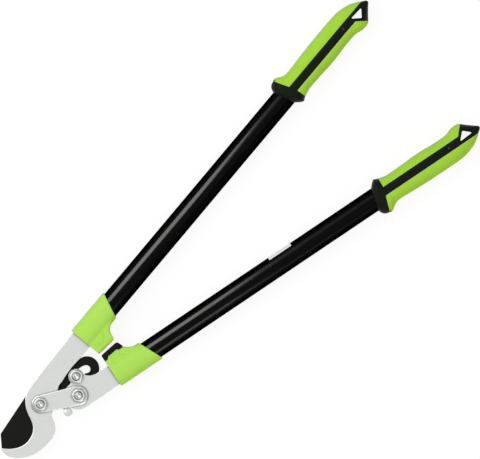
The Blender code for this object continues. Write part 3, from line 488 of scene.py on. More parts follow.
# %% Pieces
def closed_object(name, points, faces):
    """An object in the scene from points in millimetres, whose faces point outwards."""
    mesh = bpy.data.meshes.new(name)
    mesh.from_pydata(points * MM, [], faces)
    work = bmesh.new()
    work.from_mesh(mesh)
    bmesh.ops.recalc_face_normals(work, faces=work.faces)
    if work.calc_volume(signed=True) < 0:
        bmesh.ops.reverse_faces(work, faces=work.faces)
    work.to_mesh(mesh)
    work.free()
    piece = bpy.data.objects.new(name, mesh)
    bpy.context.scene.collection.objects.link(piece)
    return piece


def make_piece(name, shapes, finish, body, node=None, crease=35.0):
    """One object of several closed shapes, with smooth four-sided faces and the finish of the given name."""
    faces, used = [], 0
    for points, found in shapes:
        faces += [[corner + used for corner in face] for face in found]
        used += len(points)
    piece = closed_object(name, np.vstack([points for points, _ in shapes]), faces)
    mesh = piece.data
    mesh.set_sharp_from_angle(angle=math.radians(crease))
    mesh.polygons.foreach_set("use_smooth", [len(face) == 4 for face in faces])
    mesh.materials.append(FINISHES[finish])
    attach(piece, body)
    if node:
        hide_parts(node)
    print(name, len(faces), "faces")
    return piece


print("pieces are drawn in millimetres, each", MM, "m")


# %% Curves
def curve(points, steps):
    """A Catmull-Rom curve: between two points, a cubic whose ends follow the line of their neighbours."""
    points = np.asarray(points, float)
    padded = np.vstack([2 * points[0] - points[1], points, 2 * points[-1] - points[-2]])
    before, here, there, after = (padded[k : k + len(points) - 1, None] for k in range(4))
    t = (np.arange(steps) / steps)[None, :, None]
    square = 2 * before - 5 * here + 4 * there - after
    cube = 3 * here - before - 3 * there + after
    spans = here + 0.5 * t * (there - before + t * (square + t * cube))
    return np.vstack([spans.reshape(-1, points.shape[1]), points[-1:]])


def arc(centre, radius, start, end, count):
    """Points on a circle between two angles in degrees."""
    angles = np.radians(np.linspace(start, end, count))
    return np.asarray(centre) + radius * np.stack([np.cos(angles), np.sin(angles)], 1)


def all_round(count):
    """Angles at equal steps of a whole turn."""
    return 2 * math.pi * np.arange(count) / count


def whole_circle(centre, radius, count):
    """Points all round a circle, without the first one again at the end."""
    return arc(centre, radius, 0, 360 - 360 / count, count)


def upright(place, radius, angle, height):
    """Points round an upright axis: rows of radius and height, columns of angle."""
    x, y = place[0] + radius * np.cos(angle), place[1] + radius * np.sin(angle)
    return np.stack(np.broadcast_arrays(x, y, height), -1)


def close_to_ends(count, edge, total):
    """Places from 0 to 1 along a length: a quarter of them on each rounded edge, the rest evenly between."""
    quarter = count // 4
    rise = edge / total * (1 - np.cos(np.linspace(0, math.pi / 2, quarter)))
    middle = np.linspace(edge / total, 1 - edge / total, count - 2 * quarter + 2)[1:-1]
    return np.concatenate([rise, middle, 1 - rise[::-1]])


print("a curve through 3 points in 4 steps has", len(curve([(0, 0), (1, 1), (2, 0)], 4)), "points")

# %% [markdown]
# ## The tubes
#
# Each handle is a steel tube with a gloss black powder coat. It could be a cylinder with many sides, but as
# a profile carried round the handle's axis it also gets its wall and its slightly rolled ends, in one skin.

# %% Tubes
TUBE_RADIUS = 14.0
TUBE_WALL = 1.2
TUBE_SEAT = 6.7
TUBE_IN_GRIP = 122.8
TUBE_SIDES = 128
TUBE_ROWS = 60
TUBE_RIM = 0.3
CLEARANCE = 0.3


def ring(side, along, radius, angle):
    """A circle round a handle, at the given angles."""
    return on_handle(side, along, radius * np.cos(angle), radius * np.sin(angle))


def tube_surface(side):
    """Rows of place and radius, from inside the wall round both ends: a pipe with softened rims."""
    start, end = SOCKET_FRONT[side] + TUBE_SEAT, GRIP_START[side] + TUBE_IN_GRIP
    inner, soft = TUBE_RADIUS - TUBE_WALL, TUBE_RIM
    places = np.array([start, start + soft, end - soft, end, end, start])
    radii = np.array([TUBE_RADIUS - soft, TUBE_RADIUS, TUBE_RADIUS, TUBE_RADIUS - soft, inner, inner])
    lengthwise = np.linspace(start + soft, end - soft, TUBE_ROWS)[1:-1]
    places = np.insert(places, 2, lengthwise)
    radii = np.insert(radii, 2, np.full(len(lengthwise), TUBE_RADIUS))
    return skin(ring(side, places[:, None], radii[:, None], all_round(TUBE_SIDES)), loop=True)


for side in SIDES:
    shapes = [tube_surface(side)]
    tube = make_piece(f"{side}_handle_tube", shapes, "tube_black", BODY[side], f"{side}_tube")
    on_tubes.objects.link(tube)

# %% [markdown]
# ## The sockets
#
# A green socket joins each tube to its plate. It's a sleeve with a lobe towards the other handle: the two
# lobes meet the buffer when the handles close. The photograph shows a soft change from one to the other.
#
# Seen along the handle, each section of the socket is star-shaped about the axis. So it's one polar
# surface: at every angle, the radius is the smooth maximum of a rounded square's and of a rounded box's
# that reaches inward as far as the lobe does at that place along the handle. The front is cut square,
# the back on a slant, and the rows run on into the bore for the tube and the mouth for the plate.

# %% Socket forms
SLEEVE_RADIUS = 16.2
LOBE_BEHIND = 6.0
SLEEVE_POWER = 2.3
SOCKET_LENGTH = 54.5
SOCKET_SLANT = 0.443
SLANT_START = 42.0
LOBE_HALF = 12.0
LOBE_POWER = 9.0
BORE_RADIUS = 14.3
BLEND = 2.2
WIDE_PLACE = 15.0
LOBE_REACH = {
    "fixed": [
        (-1, 28.5), (0.4, 28.6), (3.3, 28.9), (12, 29.7), (23.0, 30.75), (24.6, 30.85), (25.5, 30.4),
        (26.3, 29.3), (27.5, 26.6), (28.5, 24.2), (29.2, 22.3), (31.4, 19.6), (34.8, 17.2), (39.5, 15.4),
        (44, 13), (70, 9),
    ],
    "moving": [
        (-1, 20.6), (0.4, 20.6), (4.2, 20.85), (4.9, 21.1), (6.1, 23.1), (6.8, 23.7), (20.0, 25.3),
        (20.7, 25.0), (22.0, 23.6), (22.8, 23.25), (28.9, 23.2), (30.9, 21.4), (33.2, 19.6), (36.0, 17.9),
        (40.0, 16.4), (44, 14), (70, 9),
    ],
}


def squared_radius(angle, across, up, power):
    """Radius of a rounded box's section: the powers of both directions' shares add up to one."""
    shares = np.abs(np.cos(angle) / across) ** power + np.abs(np.sin(angle) / up) ** power
    return shares ** (-1 / power)


def socket_radius(side, along, angle):
    """Radius of the socket's section: the soft maximum of the sleeve's and the lobe's."""
    sleeve = squared_radius(angle, SLEEVE_RADIUS, SLEEVE_RADIUS, SLEEVE_POWER)
    reach = np.interp(along, *np.array(LOBE_REACH[side]).T)
    lobe = squared_radius(angle, np.where(np.cos(angle) < 0, reach, LOBE_BEHIND), LOBE_HALF, LOBE_POWER)
    return np.logaddexp(BLEND * sleeve, BLEND * lobe) / BLEND


def socket_angles(side, count):
    """Angles at equal steps along the outline of one wide section, so that its corners get enough."""
    fine = np.linspace(0, 2 * math.pi, 4000)
    radius = socket_radius(side, WIDE_PLACE, fine)
    steps = np.hypot(np.diff(radius * np.cos(fine)), np.diff(radius * np.sin(fine)))
    travelled = np.concatenate([[0], np.cumsum(steps)])
    return np.interp(np.arange(count) * travelled[-1] / count, travelled, fine)


for side, rows in LOBE_REACH.items():
    print(side, "lobe reaches at most", max(reach for _, reach in rows), "mm inward")


# %% Socket surface
SOCKET_EDGE = 1.4
MOUTH = (14.1, 13.2, 2.55)
SOCKET_SIDES = 220
ROW_STEP = 0.8


def socket_surface(side):
    """A closed loop of rows: the mouth, the front rim, the outside, the slanted rim and the bore."""
    angle = socket_angles(side, SOCKET_SIDES)
    cosine, sine = np.cos(angle), np.sin(angle)
    inner, outer, half = MOUTH
    mouth = 1 / np.maximum(np.abs(cosine) / np.where(cosine < 0, inner, outer), np.abs(sine) / half)
    quarter = np.linspace(0, math.pi / 2, 6)
    rim, drop = SOCKET_EDGE * (1 - np.sin(quarter)), SOCKET_EDGE * (1 - np.cos(quarter))
    bends = np.array(LOBE_REACH[side])[:, 0]
    bends = bends[(bends > 2) & (bends < SLANT_START - 1)]
    body = np.unique(np.concatenate([bends, np.arange(SOCKET_EDGE + 1, SLANT_START, ROW_STEP)]))
    body = np.concatenate([body, np.linspace(SLANT_START, SOCKET_LENGTH - SOCKET_EDGE, 8)[:-1]])
    outside = [(along, cut) for along, cut in zip(drop, rim)]
    outside += [(along, 0.0) for along in body]
    outside += [(SOCKET_LENGTH - along, cut) for along, cut in zip(drop[::-1], rim[::-1])]
    seat = TUBE_SEAT - CLEARANCE
    rows = [(seat, mouth), (0.0, mouth)]
    rows += [(along, socket_radius(side, along, angle) - cut) for along, cut in outside]
    bore = np.full(SOCKET_SIDES, BORE_RADIUS)
    rows += [(along, bore) for along in (SOCKET_LENGTH, SLANT_START, seat)]
    along = np.array([row[0] for row in rows])[:, None]
    radius = np.array([row[1] for row in rows])
    slant = SOCKET_SLANT * np.clip((along - SLANT_START) / (SOCKET_LENGTH - SLANT_START), 0, 1)
    outward = radius * cosine
    along = SOCKET_FRONT[side] + along + slant * outward
    return skin(on_handle(side, along, outward, radius * sine), loop=True)


SOCKETS = {side: socket_surface(side) for side in SIDES}
print("a socket has", len(SOCKETS["fixed"][1]), "faces")


# %% Height on a socket
def socket_height(side, along, outward):
    """Height of the socket's front face over a place, found by turning the angle until it's above it."""
    height = np.full(np.shape(along), LOBE_HALF)
    for _ in range(30):
        angle = np.arctan2(height, outward)
        height = socket_radius(side, along, angle) * np.sin(angle)
    return height


print("the lobe's face is", float(socket_height("fixed", 15.0, -18.0).round(2)), "mm above the axis")

# %% [markdown]
# Both lobes carry a thin raised line in the shape of a letter D, in front and behind. It's a bead: a small
# circle carried along a curve that lies on the lobe's face, thinner towards its ends.

# %% Beads on the lobes
D_LINE = {
    "fixed": [
        (7.4, -10.6), (6.2, -15.0), (7.0, -18.9), (10.2, -22.0), (15.4, -21.9), (19.8, -18.4), (23.3, -14.0),
        (25.9, -10.6),
    ],
    "moving": [
        (7.7, -10.4), (7.2, -14.6), (7.8, -18.4), (10.8, -20.8), (14.6, -21.0), (18.4, -19.4), (22.4, -15.6),
        (25.6, -10.8),
    ],
}
BEAD_RADIUS = 0.58
BEAD_FADE = 0.06


def bead_surface(side, face):
    """Round sections across a curve on the lobe: half of each is in the plastic."""
    path = curve(D_LINE[side], 12)
    height = socket_height(side, path[:, 0], path[:, 1])
    centre = on_handle(side, SOCKET_FRONT[side] + path[:, 0], path[:, 1], face * height)
    ahead = np.gradient(centre, axis=0)
    ahead /= np.linalg.norm(ahead, axis=1)[:, None]
    up = np.array([0.0, 0.0, 1.0])
    across = np.cross(up, ahead)
    across /= np.linalg.norm(across, axis=1)[:, None]
    lift = np.cross(ahead, across)
    t = np.linspace(0, 1, len(path))
    radius = BEAD_RADIUS * np.sqrt(np.clip(np.minimum(t, 1 - t) / BEAD_FADE, 0.04, 1))
    angles = all_round(12)
    offset = np.cos(angles)[:, None] * across[:, None] + np.sin(angles)[:, None] * lift[:, None]
    return skin(centre[:, None] + radius[:, None, None] * offset)


for side in SIDES:
    shapes = [SOCKETS[side], bead_surface(side, 1), bead_surface(side, -1)]
    name, node = f"{side}_moulded_socket", f"{side}_socket"
    make_piece(name, shapes, "socket_green", BODY[side], node, 40)

# %% [markdown]
# ## The grips
#
# A grip has a hard black core with a collar at its front, a flat stripe on both faces and a loop to hang it
# by, and two soft green pads let in beside the stripe. Core and pads follow one form: a table of sections,
# each a superellipse of its own width and height, smoothed along the handle. The stripe's flat comes from
# a soft limit on the height.
#
# The pads are patches of that form with rolled edges. The core is the same form, a little lower under them.
# A patch's border isn't at a fixed row of the table, because the lines that bound it lean, so each point
# slides along the form until it's over its place in the plan.

# %% The form of a grip
COLLAR_ROWS = [
    (-3.9, 14.5, 14.5, 14.5, 7.8), (-2.9, 17.1, 16.2, 15.6, 8.4), (-1.0, 20.1, 18.8, 16.4, 9.0),
    (2.4, 22.3, 20.9, 17.2, 8.2), (5.6, 23.0, 21.4, 17.4, 6.8), (8.7, 24.0, 20.6, 17.4, 5.9),
    (12.2, 22.8, 19.7, 17.3, 4.8), (15.8, 20.1, 18.8, 17.3, 3.8), (19.4, 17.8, 18.0, 17.3, 3.2),
    (24.0, 16.8, 17.4, 17.3, 1.8), (31.0, 16.7, 16.8, 17.3, 0.0), (52.0, 17.7, 17.3, 17.3, 0.0),
    (74.0, 18.3, 18.0, 17.3, 0.0),
]
NOSE_ROWS = [
    (98.0, 18.4, 16.9, 17.3, 0.0), (112.0, 18.2, 17.0, 17.3, 0.0), (118.5, 17.9, 18.0, 17.2, 0.0),
    (123.5, 17.1, 20.0, 16.9, 0.0), (128.5, 15.8, 20.8, 16.4, 0.0), (134.0, 13.9, 20.8, 15.7, 0.0),
    (138.0, 12.5, 19.2, 14.9, 0.0), (143.0, 9.6, 14.9, 13.6, 0.0), (148.0, 6.1, 10.7, 12.0, 0.0),
    (152.5, 2.3, 6.9, 10.2, 0.0), (154.4, 0.8, 5.4, 9.2, 0.0), (155.5, -0.3, 4.4, 8.3, 0.0),
    (156.1, -1.1, 3.6, 7.4, 0.0), (156.4, -1.7, 2.9, 6.5, 0.0),
]
GRIP_FORM = curve(COLLAR_ROWS + NOSE_ROWS, 8)
FORM_POWER = 2.5
STRIPE_HEIGHT = 16.5
FLATNESS = 40


def form_section(row):
    """Half width, middle, height and lean of the form at a row, given as the outer side's place along."""
    outer, inner, height, lean = (np.interp(row, GRIP_FORM[:, 0], GRIP_FORM[:, k]) for k in range(1, 5))
    return (outer + inner) / 2, (outer - inner) / 2, height, lean


def form_point(row, angle, depth=0.0):
    """Along, outward and above of a point of the form, or of one sunk by a depth.

    Outward and above are a superellipse's; above is softly held to the stripe's height; along moves back
    by the lean's share for the part of the way from the outer side to the inner one.
    """
    half, middle, height, lean = form_section(row)
    cosine, sine = np.cos(angle), np.sin(angle)
    outward = middle + (half - depth) * np.sign(cosine) * np.abs(cosine) ** (2 / FORM_POWER)
    above = (height - depth) * np.abs(sine) ** (2 / FORM_POWER)
    limit = STRIPE_HEIGHT - depth
    above = above / (1 + (above / limit) ** FLATNESS) ** (1 / FLATNESS)
    along = row + lean * (middle + half - outward) / (2 * half)
    return along, outward, np.sign(sine) * above


print("the form is", GRIP_FORM[-1, 0] - GRIP_FORM[0, 0], "mm long, in", len(GRIP_FORM), "rows")


# %% The core
CORE_SIDES = 144
CORE_DROP = 0.35
CORE_CREASE = 30


def core_surface(side):
    """The form from collar to nose, lower beside the pads, with a blind bore for the tube behind it."""
    row = GRIP_FORM[:, 0]
    drop = CORE_DROP * np.clip((row - 7) / 5, 0, 1) * np.clip((154 - row) / 4, 0, 1)
    angle = all_round(CORE_SIDES) + math.pi / CORE_SIDES
    along, outward, above = form_point(row[:, None], angle[None], drop[:, None])
    outside = on_grip(side, along, outward, above)
    bore = TUBE_RADIUS + CLEARANCE
    mouth = ring(side, GRIP_START[side] + along[0], bore, angle)
    bottom = ring(side, GRIP_START[side] + TUBE_IN_GRIP + CLEARANCE, bore, angle)
    return skin(np.concatenate([bottom[None], mouth[None], outside]))


CORES = {side: core_surface(side) for side in SIDES}
print("a core has", len(CORES["fixed"][1]), "faces before cutting")

# %% [markdown]
# The loop's opening and the screw's recess are cut from the core. Their walls run straight through and open
# into a small flare at the surface, which has to follow the form's falling height. That's why the cutters
# are also skins, with rings at the form's own height, and the core is the one place where a Boolean does
# the work: a grid with a hole in it would need its rows bent round the hole.

# %% Openings in the core
LOOP_CORNERS = np.array([(126.6, -0.6), (145.0, -1.7), (135.9, -10.2)])
LOOP_ROUND = 1.1


def rounded(corners, radius):
    """A polygon whose corners give way to parabolas that touch both sides."""
    found = []
    for corner, before, after in zip(corners, np.roll(corners, 1, 0), np.roll(corners, -1, 0)):
        back, ahead = before - corner, after - corner
        back, ahead = back / np.hypot(*back), ahead / np.hypot(*ahead)
        reach = radius / math.tan(math.acos(back @ ahead) / 2)
        t = np.linspace(0, 1, 8)[:, None]
        found.append(corner + (1 - t) ** 2 * reach * back + t**2 * reach * ahead)
    return np.vstack(found)


LOOP = rounded(LOOP_CORNERS, LOOP_ROUND)
print("the loop's opening has", len(LOOP), "points and reaches", LOOP.max(0).round(1), "mm")


# %% Outlines and cutters
FLARE = 0.9


def inset(outline, amount):
    """An anticlockwise outline moved inward along the line that halves each corner."""
    ahead = np.roll(outline, -1, 0) - outline
    ahead /= np.hypot(*ahead.T)[:, None]
    middle = ahead + np.roll(ahead, 1, 0)
    middle /= np.hypot(*middle.T)[:, None]
    inward = np.stack([-middle[:, 1], middle[:, 0]], 1)
    stretch = np.maximum(np.sum(middle * ahead, 1), 0.5)
    return outline + inward * (np.broadcast_to(amount, len(outline)) / stretch)[:, None]


def anticlockwise(outline):
    """The outline listed anticlockwise."""
    x, y = outline.T
    return outline if x @ np.roll(y, -1) > y @ np.roll(x, -1) else outline[::-1]


def form_height(along, outward):
    """Height of the core's face over a place in the plan, where the form doesn't lean."""
    half, middle, height, _ = form_section(along)
    share = np.clip(np.abs((outward - middle) / half), 0, 0.999)
    above = (height - CORE_DROP) * (1 - share**FORM_POWER) ** (1 / FORM_POWER)
    return np.minimum(above, STRIPE_HEIGHT - CORE_DROP)


def flared_cutter(side, outline, bottom=None):
    """Rings of an outline, wider above the surface than below it, through the core or down to a bottom."""
    outline = anticlockwise(outline)
    levels = [(0.0, -FLARE), (FLARE, 0.0), (2 * FLARE, FLARE)]
    rings = []
    if bottom is None:
        levels = [(wide, -lift) for wide, lift in levels[::-1]] + levels
        signs = (-1, -1, -1, 1, 1, 1)
    else:
        rings.append(on_grip(side, *outline.T, bottom))
        signs = (1, 1, 1)
    for (wide, lift), sign in zip(levels, signs):
        wider = inset(outline, -wide)
        above = sign * form_height(*wider.T) + lift
        rings.append(on_grip(side, *wider.T, above))
    return skin(np.array(rings))


print("the form over the loop is", form_height(*LOOP.T).round(1).max(), "mm high at most")


# %% Cutting the cores
SCREW_BACK = 12.0
SCREW_INWARD = 1.5
SCREW_RECESS = 2.3
RECESS_FLOOR = STRIPE_HEIGHT - 1.75


def cut(piece, shape):
    """Takes a closed shape out of a piece, and keeps the result as the piece's mesh."""
    tool = closed_object("cutter", *shape)
    step = piece.modifiers.new("cut", "BOOLEAN")
    step.operation, step.solver, step.object = "DIFFERENCE", "EXACT", tool
    bpy.context.view_layer.update()
    result = bpy.data.meshes.new_from_object(piece.evaluated_get(bpy.context.evaluated_depsgraph_get()))
    piece.modifiers.remove(step)
    bpy.data.objects.remove(tool)
    piece.data = result
    result.set_sharp_from_angle(angle=math.radians(CORE_CREASE))


for side in SIDES:
    name, node = f"{side}_grip_body", f"{side}_grip_core"
    core = make_piece(name, [CORES[side]], "grip_black", BODY[side], node, CORE_CREASE)
    cut(core, flared_cutter(side, LOOP))
    recess = whole_circle((TUBE_IN_GRIP - SCREW_BACK, -SCREW_INWARD), SCREW_RECESS, 48)
    cut(core, flared_cutter(side, recess, RECESS_FLOOR))
    print(core.name, len(core.data.polygons), "faces after cutting")

# %% [markdown]
# ## The pads
#
# A pad's section is a closed ring: across the top on the form, down over a rolled edge, back underneath.
# Near its borders the top sinks along a quarter circle, so the pad seems to swell out of its pocket.

# %% Pad surface
PAD_ROLL = 0.9
PAD_THICKNESS = 1.8
STRIPE_EDGE = {"outer": 3.3, "inner": 7.0}
PAD_LENGTH = 130.0
PAD_SPAN = 120.0
PAD_GIRTH = 44.0
PAD_ROWS = 150
PAD_COLUMNS = 72

# Each border line: its place along at the stripe's edge, and how far it leans for a millimetre outward
PAD_START = {"outer": (13.6, -0.40), "inner": (16.9, 0.054)}
PAD_END = {"outer": (150.6, 0.0), "inner": (127.8, 0.90)}


def pad_line(kind, border, outward):
    """Place along the handle of a pad's border line, at a distance outward."""
    place, lean = border[kind]
    return place + lean * (np.abs(outward) - STRIPE_EDGE[kind])


def pad_surface(side, kind):
    """Rings over the grip, each across one pad from stripe to stripe and back underneath."""
    lengthwise = close_to_ends(PAD_ROWS, 1.6 * PAD_ROLL, PAD_SPAN)[:, None]
    crosswise = close_to_ends(PAD_COLUMNS, PAD_ROLL, PAD_GIRTH)[None]
    way = 1.0 if kind == "outer" else -1.0
    row = 14 + PAD_SPAN * lengthwise + 0 * crosswise
    for _ in range(40):
        half, middle, _, lean = form_section(row)
        reach = np.clip((STRIPE_EDGE[kind] - way * middle) / half, 0, 1)
        spread = np.arccos(reach ** (FORM_POWER / 2))
        angle = spread * (2 * crosswise - 1) + (0 if kind == "outer" else math.pi)
        outward = form_point(row, angle)[1]
        start, end = pad_line(kind, PAD_START, outward), pad_line(kind, PAD_END, outward)
        target = (1 - lengthwise) * start + lengthwise * end
        row = 0.5 * row + 0.5 * (target - lean * (middle + half - outward) / (2 * half))
    arc_length = 2 * spread * (half + 2)
    from_sides = np.minimum(crosswise, 1 - crosswise) * arc_length
    from_ends = np.minimum(lengthwise, 1 - lengthwise) * PAD_LENGTH
    border = np.minimum(from_sides, from_ends)
    sunk = PAD_ROLL - np.sqrt(PAD_ROLL**2 - np.clip(PAD_ROLL - border, 0, PAD_ROLL) ** 2)
    top = form_point(row, angle, sunk)
    under = form_point(row, angle, PAD_THICKNESS + 0 * sunk)
    place = [np.concatenate([above, below[:, ::-1]], 1) for above, below in zip(top, under)]
    return skin(on_grip(side, *place))


for side in SIDES:
    for kind in ("outer", "inner"):
        name, node = f"{side}_grip_{kind}_cushion", f"{side}_grip_{kind}_pad"
        make_piece(name, [pad_surface(side, kind)], "pad_green", BODY[side], node, 60)

# %% [markdown]
# ## The plates
#
# Hook, lever and strap are laser-cut and ground plates. Each is an outline raised between two heights, and
# its rims are rounded, because a rim that's a true corner never catches the light. The outline is the
# path, and the rim's profile is carried along it. The two flat faces are filled with triangles, round any
# hole.


# %% A plate from its outline
RIM = (0.35, 0.35)
HOLE_RIM = (-0.25, 0.25)


def rim_rows(outline, low, high, below, above, steps):
    """Rings of an outline's wall. A rim is given by how far it goes in and how far up or down.

    With several steps it follows a quarter of an ellipse, and with one step it's a straight chamfer.
    """
    quarter = np.linspace(0, math.pi / 2, steps + 1)
    rings = []
    for level, (width, height), sign in ((low, below, 1), (high, above, -1)):
        found = []
        for turn in quarter:
            flat = inset(outline, np.asarray(width) * (1 - math.sin(turn)))
            lift = level + sign * np.asarray(height) * (1 - math.cos(turn))
            found.append(np.column_stack([flat, np.broadcast_to(lift, len(flat))]))
        rings += found if sign > 0 else found[::-1]
    return np.array(rings)


def fading_rim(plain, wide, share):
    """A rim's width and height at each point, between a plain rim's and a wide one's."""
    return [low + (high - low) * share for low, high in zip(plain, wide)]


def plate(outline, low, high, below=RIM, above=RIM, openings=(), steps=3):
    """Points and faces of a plate with openings: walls as grids, then both flat faces as triangles."""
    walls = [rim_rows(outline, low, high, below, above, steps)]
    walls += [rim_rows(hole, low, high, HOLE_RIM, HOLE_RIM, steps) for hole in openings]
    points, faces, numbers = np.empty((0, 3)), [], []
    for wall in walls:
        used = len(points)
        found, wall_faces = skin(wall)
        faces += [[corner + used for corner in face] for face in wall_faces[:-2]]
        numbers.append(used + np.arange(len(found)).reshape(wall.shape[:2]))
        points = np.vstack([points, found])
    for end in (0, -1):
        index = np.concatenate([grid[end] for grid in numbers])
        triangles = tessellate_polygon([[Vector(point) for point in wall[end]] for wall in walls])
        faces += [index[list(triangle)].tolist() for triangle in triangles]
    return points, faces


def from_pivot(rows):
    """Plan points drawn from the main pivot, in the frame."""
    return np.asarray(rows, float) + MAIN_PIVOT[:2]


print("a square plate has", len(plate(np.array([(0.0, 0.0), (9, 0), (9, 9), (0, 9)]), 0, 4)[1]), "faces")


# %% Heights and shared places
PLATE_THICKNESS = 4.5
BLADE_THICKNESS = 4.0
STRAP_THICKNESS = 3.0
PLATE_LOW, PLATE_HIGH = AXIS_HEIGHT - PLATE_THICKNESS / 2, AXIS_HEIGHT + PLATE_THICKNESS / 2
BLADE_HIGH, STRAP_LOW = PLATE_LOW - CLEARANCE, PLATE_HIGH + CLEARANCE
BLADE_LOW, STRAP_HIGH = BLADE_HIGH - BLADE_THICKNESS, STRAP_LOW + STRAP_THICKNESS

LEVER_PLACE = LEVER_PIVOT[:2] - MAIN_PIVOT[:2]
DRIVE_PLACE = np.array([55.4, -4.2])
DRIVE_POINT = from_pivot(DRIVE_PLACE)
HANDLE_RANGE = (-2.8, 82.0)
LEVER_DISC = 17.2
BOLT_RADIUS = 4.0
SHOULDER_RADIUS = 4.4
FLUSH_HEAD = 7.5
TANG_DEPTH = 4.0
TANG_LENGTH = 34.7
TANG_HALF = 9.0


def round_hole(place, radius):
    """The outline of a hole in a plate, with clearance round what goes through it."""
    return whole_circle(place[:2], radius + CLEARANCE, 60)


def tang_outline(side):
    """The end of a plate that goes into its socket, from the shoulder in the mouth on its inner side."""
    inner, outer, _ = MOUTH
    step = SOCKET_FRONT[side] + TANG_DEPTH
    end = step + TANG_LENGTH
    along = [step, step, end, end, step, step]
    outward = [CLEARANCE - inner, -TANG_HALF, -TANG_HALF, TANG_HALF, TANG_HALF, outer - CLEARANCE]
    return on_handle(side, along, outward, 0.0)[:, :2] - MAIN_PIVOT[:2]


print("lever pivot at", LEVER_PLACE, "from the main pivot")

# %% [markdown]
# The hook plate's tip, jaw and back are drawn as points that a smooth curve joins. Its inner jaw carries a
# wider bevel on the front, which shows as a pale line against the black blade.

# %% Hook plate
HOOK_BACK = [
    (-72.2, -8.8), (-73.2, -13.5), (-72.6, -19.5), (-67.6, -27.3), (-61, -33.4), (-54, -38.0), (-45, -41.0),
    (-35, -42.2), (-25, -42.0), (-15, -39.9), (-7.5, -35.6), (-3, -29.3), (-0.2, -21.5), (2.6, -17.2),
]
HOOK_NECK = [(7.5, -15.8), (13.4, -17.0), (16.4, -20.4)]
UNDER_STRAP = [(22.4, -11.5), (22.7, -7.4), (24.9, -4.2), (27.4, -1.5)]
TANG_INNER_SIDE = [(29.8, 1.4), (38, 2.9), (45, 4.8), (52, 6.5), (62, 8.2), (74, 9.5)]
TANG_OUTER_SIDE = [(50, 32.0), (30, 28.6), (12, 25.2), (2, 22.9), (-4.6, 20.9)]
JAW = [
    (-8.2, 18.5), (-12.2, 14.4), (-15.6, 9.6), (-18.2, 4.6), (-20.1, -1.0), (-21.6, -6.5), (-24.6, -13.2),
    (-29.2, -18.4), (-35.4, -21.9), (-43.0, -23.6), (-50.5, -23.0), (-57.6, -20.3), (-64.8, -15.3),
    (-71.4, -8.2),
]
STOP_RADIUS = 5.5
STOP_DISTANCE = 23.7
STOP_BEARING = math.radians(196.1)
STOP_HEADING = np.array([math.cos(STOP_BEARING), math.sin(STOP_BEARING)])
DISC_GAP = 0.9
HOOK_RIM = (0.45, 0.40)
JAW_BEVEL = (1.0, 0.70)
EASING = 7


def hook_outline():
    """The hook plate anticlockwise from its tip, and which of its points are on the jaw."""
    stop = LEVER_PLACE + STOP_DISTANCE * STOP_HEADING
    parts = [
        curve(HOOK_BACK, 8)[:-1], curve(HOOK_NECK, 5), arc(stop, STOP_RADIUS, 112, 366, 50),
        arc(LEVER_PLACE, LEVER_DISC + DISC_GAP, 182, 164, 8), curve(UNDER_STRAP, 6),
        curve(TANG_INNER_SIDE, 4)[1:], tang_outline("fixed"), curve(TANG_OUTER_SIDE, 4), curve(JAW, 8),
    ]
    outline = from_pivot(np.vstack(parts))
    return outline, np.arange(len(outline)) >= len(outline) - len(parts[-1])


outline, on_jaw = hook_outline()
rim = fading_rim(HOOK_RIM, JAW_BEVEL, np.convolve(on_jaw, np.ones(EASING) / EASING, "same"))
pivot_hole = round_hole(MAIN_PIVOT, BOLT_RADIUS)
hook = plate(outline, PLATE_LOW, PLATE_HIGH, above=rim, openings=[pivot_hole])
make_piece("hook_jaw_plate", [hook], "plate_steel", "fixed_handle", "hook_plate")


# %% Stop lug
DOME = [
    (0.3, 0.46), (1.4, 0.43), (2.6, 0.34), (3.6, 0.2), (4.3, 0.05), (4.7, -0.1), (4.8, -0.3), (4.7, -0.6),
    (0.3, -0.6),
]
DOME_DISTANCE = 23.9


def dome_surface(centre):
    """A low dome: rings whose height falls towards the rim, closed underneath."""
    radius, lift = (column[:, None] for column in np.array(DOME).T)
    return skin(upright(centre, radius, all_round(72), PLATE_HIGH + lift))


dome = dome_surface(LEVER_PIVOT[:2] + DOME_DISTANCE * STOP_HEADING)
make_piece("stop_lug_dome", [dome], "plate_steel", "fixed_handle")


# %% Lever plate
LEVER_INNER_SIDE = [(85, -19.6), (79.5, -18.5), (74.5, -17.4), (69.8, -15.2), (66.2, -11.8)]
DRIVE_LOBE = 9.6


def lever_outline():
    """A disc round the lever pivot, the tang and a lobe round the drive bolt."""
    disc = arc(LEVER_PLACE, LEVER_DISC, 84, 263, 90)
    lobe = arc(DRIVE_PLACE, DRIVE_LOBE, -24, 186, 60)
    return from_pivot(np.vstack([disc, tang_outline("moving")[::-1], curve(LEVER_INNER_SIDE, 6), lobe]))


holes = [round_hole(LEVER_PIVOT, FLUSH_HEAD), round_hole(DRIVE_POINT, SHOULDER_RADIUS)]
lever = plate(lever_outline(), PLATE_LOW, PLATE_HIGH, openings=holes)
make_piece("drive_lever_plate", [lever], "plate_steel", "moving_handle", "lever_plate")


# %% Strap
STRAP_NEAR = 10.7
STRAP_FAR = 12.0
STRAP_RIM = (1.15, 0.62)


def strap_outline():
    """Two round ends of different size and the straight sides that touch both."""
    heading = math.degrees(math.atan2(LEVER_PLACE[1], LEVER_PLACE[0]))
    side = 90 + math.degrees(math.asin((STRAP_FAR - STRAP_NEAR) / math.hypot(*LEVER_PLACE)))
    near = arc((0, 0), STRAP_NEAR, heading + side, heading + 360 - side, 70)
    far = arc(LEVER_PLACE, STRAP_FAR, heading - side, heading + side, 70)
    return from_pivot(np.vstack([near, far]))


strap = plate(strap_outline(), STRAP_LOW, STRAP_HIGH, above=STRAP_RIM, steps=1)
make_piece("front_strap", [strap], "plate_steel", "fixed_handle", "link_strap")

